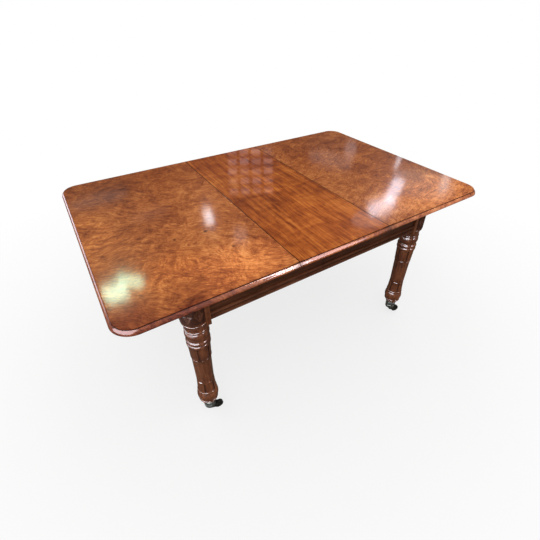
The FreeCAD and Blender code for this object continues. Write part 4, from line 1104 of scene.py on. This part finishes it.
shownIn = {"leftWall": "turnings", "leftRear": "turnings", "leftFloor": "turnings", "leftSill": "mouldings"}
shelf = {"point": (0.05, 0.24, 0.73), "direction": (0.442, 0.81, 0.402), "distance": 3.0, "columns": 4,
         "rows": 5, "acrossStep": 0.155, "upStep": 0.125, "width": 0.115, "height": 0.065,
         "radiance": 0.9, "dimmest": 0.7, "brighter": 0.2, "colour": (1.0, 0.7, 0.72)}
white = (1.0, 1.0, 1.0, 1.0)
world = bpy.data.worlds.new("studio")
scene.world = world
world.use_nodes = True
tree = world.node_tree
tree.nodes.clear()
path = addNode(tree, "LightPath")
seen = sums(tree, "MAXIMUM", path.outputs["Is Camera Ray"], path.outputs["Is Transmission Ray"])
direction = addNode(tree, "TexCoord").outputs["Generated"]
upward = addNode(tree, "SeparateXYZ", {0: direction}).outputs[2]
sky = ramp(tree, upward, list(zip(studio["skyRange"], (studio["horizon"], studio["overhead"]))), True)
ambient = addNode(tree, "Background", {"Color": white, "Strength": studio["light"]})
mirrored = addNode(tree, "Background", {"Color": sky, "Strength": 1.0})
backdrop = addNode(tree, "Background", {"Color": white, "Strength": 1.0})
shaded = addNode(tree, "MixShader", {0: path.outputs["Is Glossy Ray"], 1: ambient.outputs[0],
                                     2: mirrored.outputs[0]})
final = addNode(tree, "MixShader", {0: seen, 1: shaded.outputs[0], 2: backdrop.outputs[0]})
addNode(tree, "OutputWorld", {"Surface": final.outputs[0]})


def areaLamp(name, place, target, width, height, roll, radiance, colour):
    light = bpy.data.lights.new(name, "AREA")
    light.shape = "RECTANGLE"
    light.size = width
    light.size_y = height
    light.energy = radiance * pi * width * height
    light.color = colour
    lamp = addObject(name, light)
    lamp.location = place
    facing = (Vector(target) - Vector(place)).to_track_quat("-Z", "Y").to_matrix()
    lamp.rotation_euler = (facing @ Matrix.Rotation(radians(roll), 3, "Z")).to_euler()
    lamp.visible_camera = False
    return lamp


areaLamp("softLamp", softLamp["place"], softLamp["target"], softLamp["size"], softLamp["size"], 0,
         softLamp["radiance"], (1, 1, 1)).visible_glossy = False
for name, row in {**shines, **hazes, **sideWindows}.items():
    spot, direction, distance, *shape = row
    point = Vector((*spot, studio["shineLevel"])[:3])
    shine = areaLamp(name, point + Vector(direction).normalized() * distance, point, *shape)
    shine.visible_diffuse = False
    if name in hazes:
        shine.data.shape = "ELLIPSE"
    if name in sideWindows:
        shine.light_linking.receiver_collection = groups[shownIn.get(name, "shinyForms")]
ahead = Vector(shelf["direction"]).normalized()
across = ahead.cross(Vector((0, 0, 1))).normalized()
for column in range(shelf["columns"]):
    for row in range(shelf["rows"]):
        place = Vector(shelf["point"]) + ahead * shelf["distance"]
        place += across * (column - (shelf["columns"] - 1) / 2) * shelf["acrossStep"]
        place += across.cross(ahead) * (row - (shelf["rows"] - 1) / 2) * shelf["upStep"]
        radiance = shelf["radiance"] * (shelf["dimmest"] + shelf["brighter"] * ((column + row) % 3))
        shine = areaLamp(f"shelf{column}{row}", place, shelf["point"], shelf["width"], shelf["height"],
                         0, radiance, shelf["colour"])
        shine.visible_diffuse = False

# Floor: white paper that keeps the table's shadow and fades into the white behind it
floorMaterial, tree = newMaterial("paperFloor")
away = vectorSums(tree, "LENGTH", addNode(tree, "TexCoord").outputs["Object"])
far = remap(tree, away, studio["floorNear"], studio["floorFar"], studio["floorWhite"], 1.0)
cameraRay = addNode(tree, "LightPath").outputs["Is Camera Ray"]
shade = mixColours(tree, cameraRay, studio["floorBounce"], studio["floorSeen"])
paper = addNode(tree, "BsdfDiffuse", {"Color": shade})
glow = addNode(tree, "Emission", {"Color": white, "Strength": 1.0})
finishMaterial(tree, addNode(tree, "MixShader", {0: sums(tree, "MULTIPLY", far, cameraRay),
                                                 1: paper.outputs[0], 2: glow.outputs[0]}))
half = studio["floorSize"] / 2
floorMesh = bpy.data.meshes.new("floor")
floorMesh.from_pydata([(-half, -half, 0), (half, -half, 0), (half, half, 0), (-half, half, 0)],
                      [], [(0, 1, 2, 3)])
floorMesh.materials.append(floorMaterial)
floor = addObject("floor", floorMesh)
floor.location.z = -studio["floorDrop"]
scene.view_settings.view_transform = "Standard"
print("studio made")
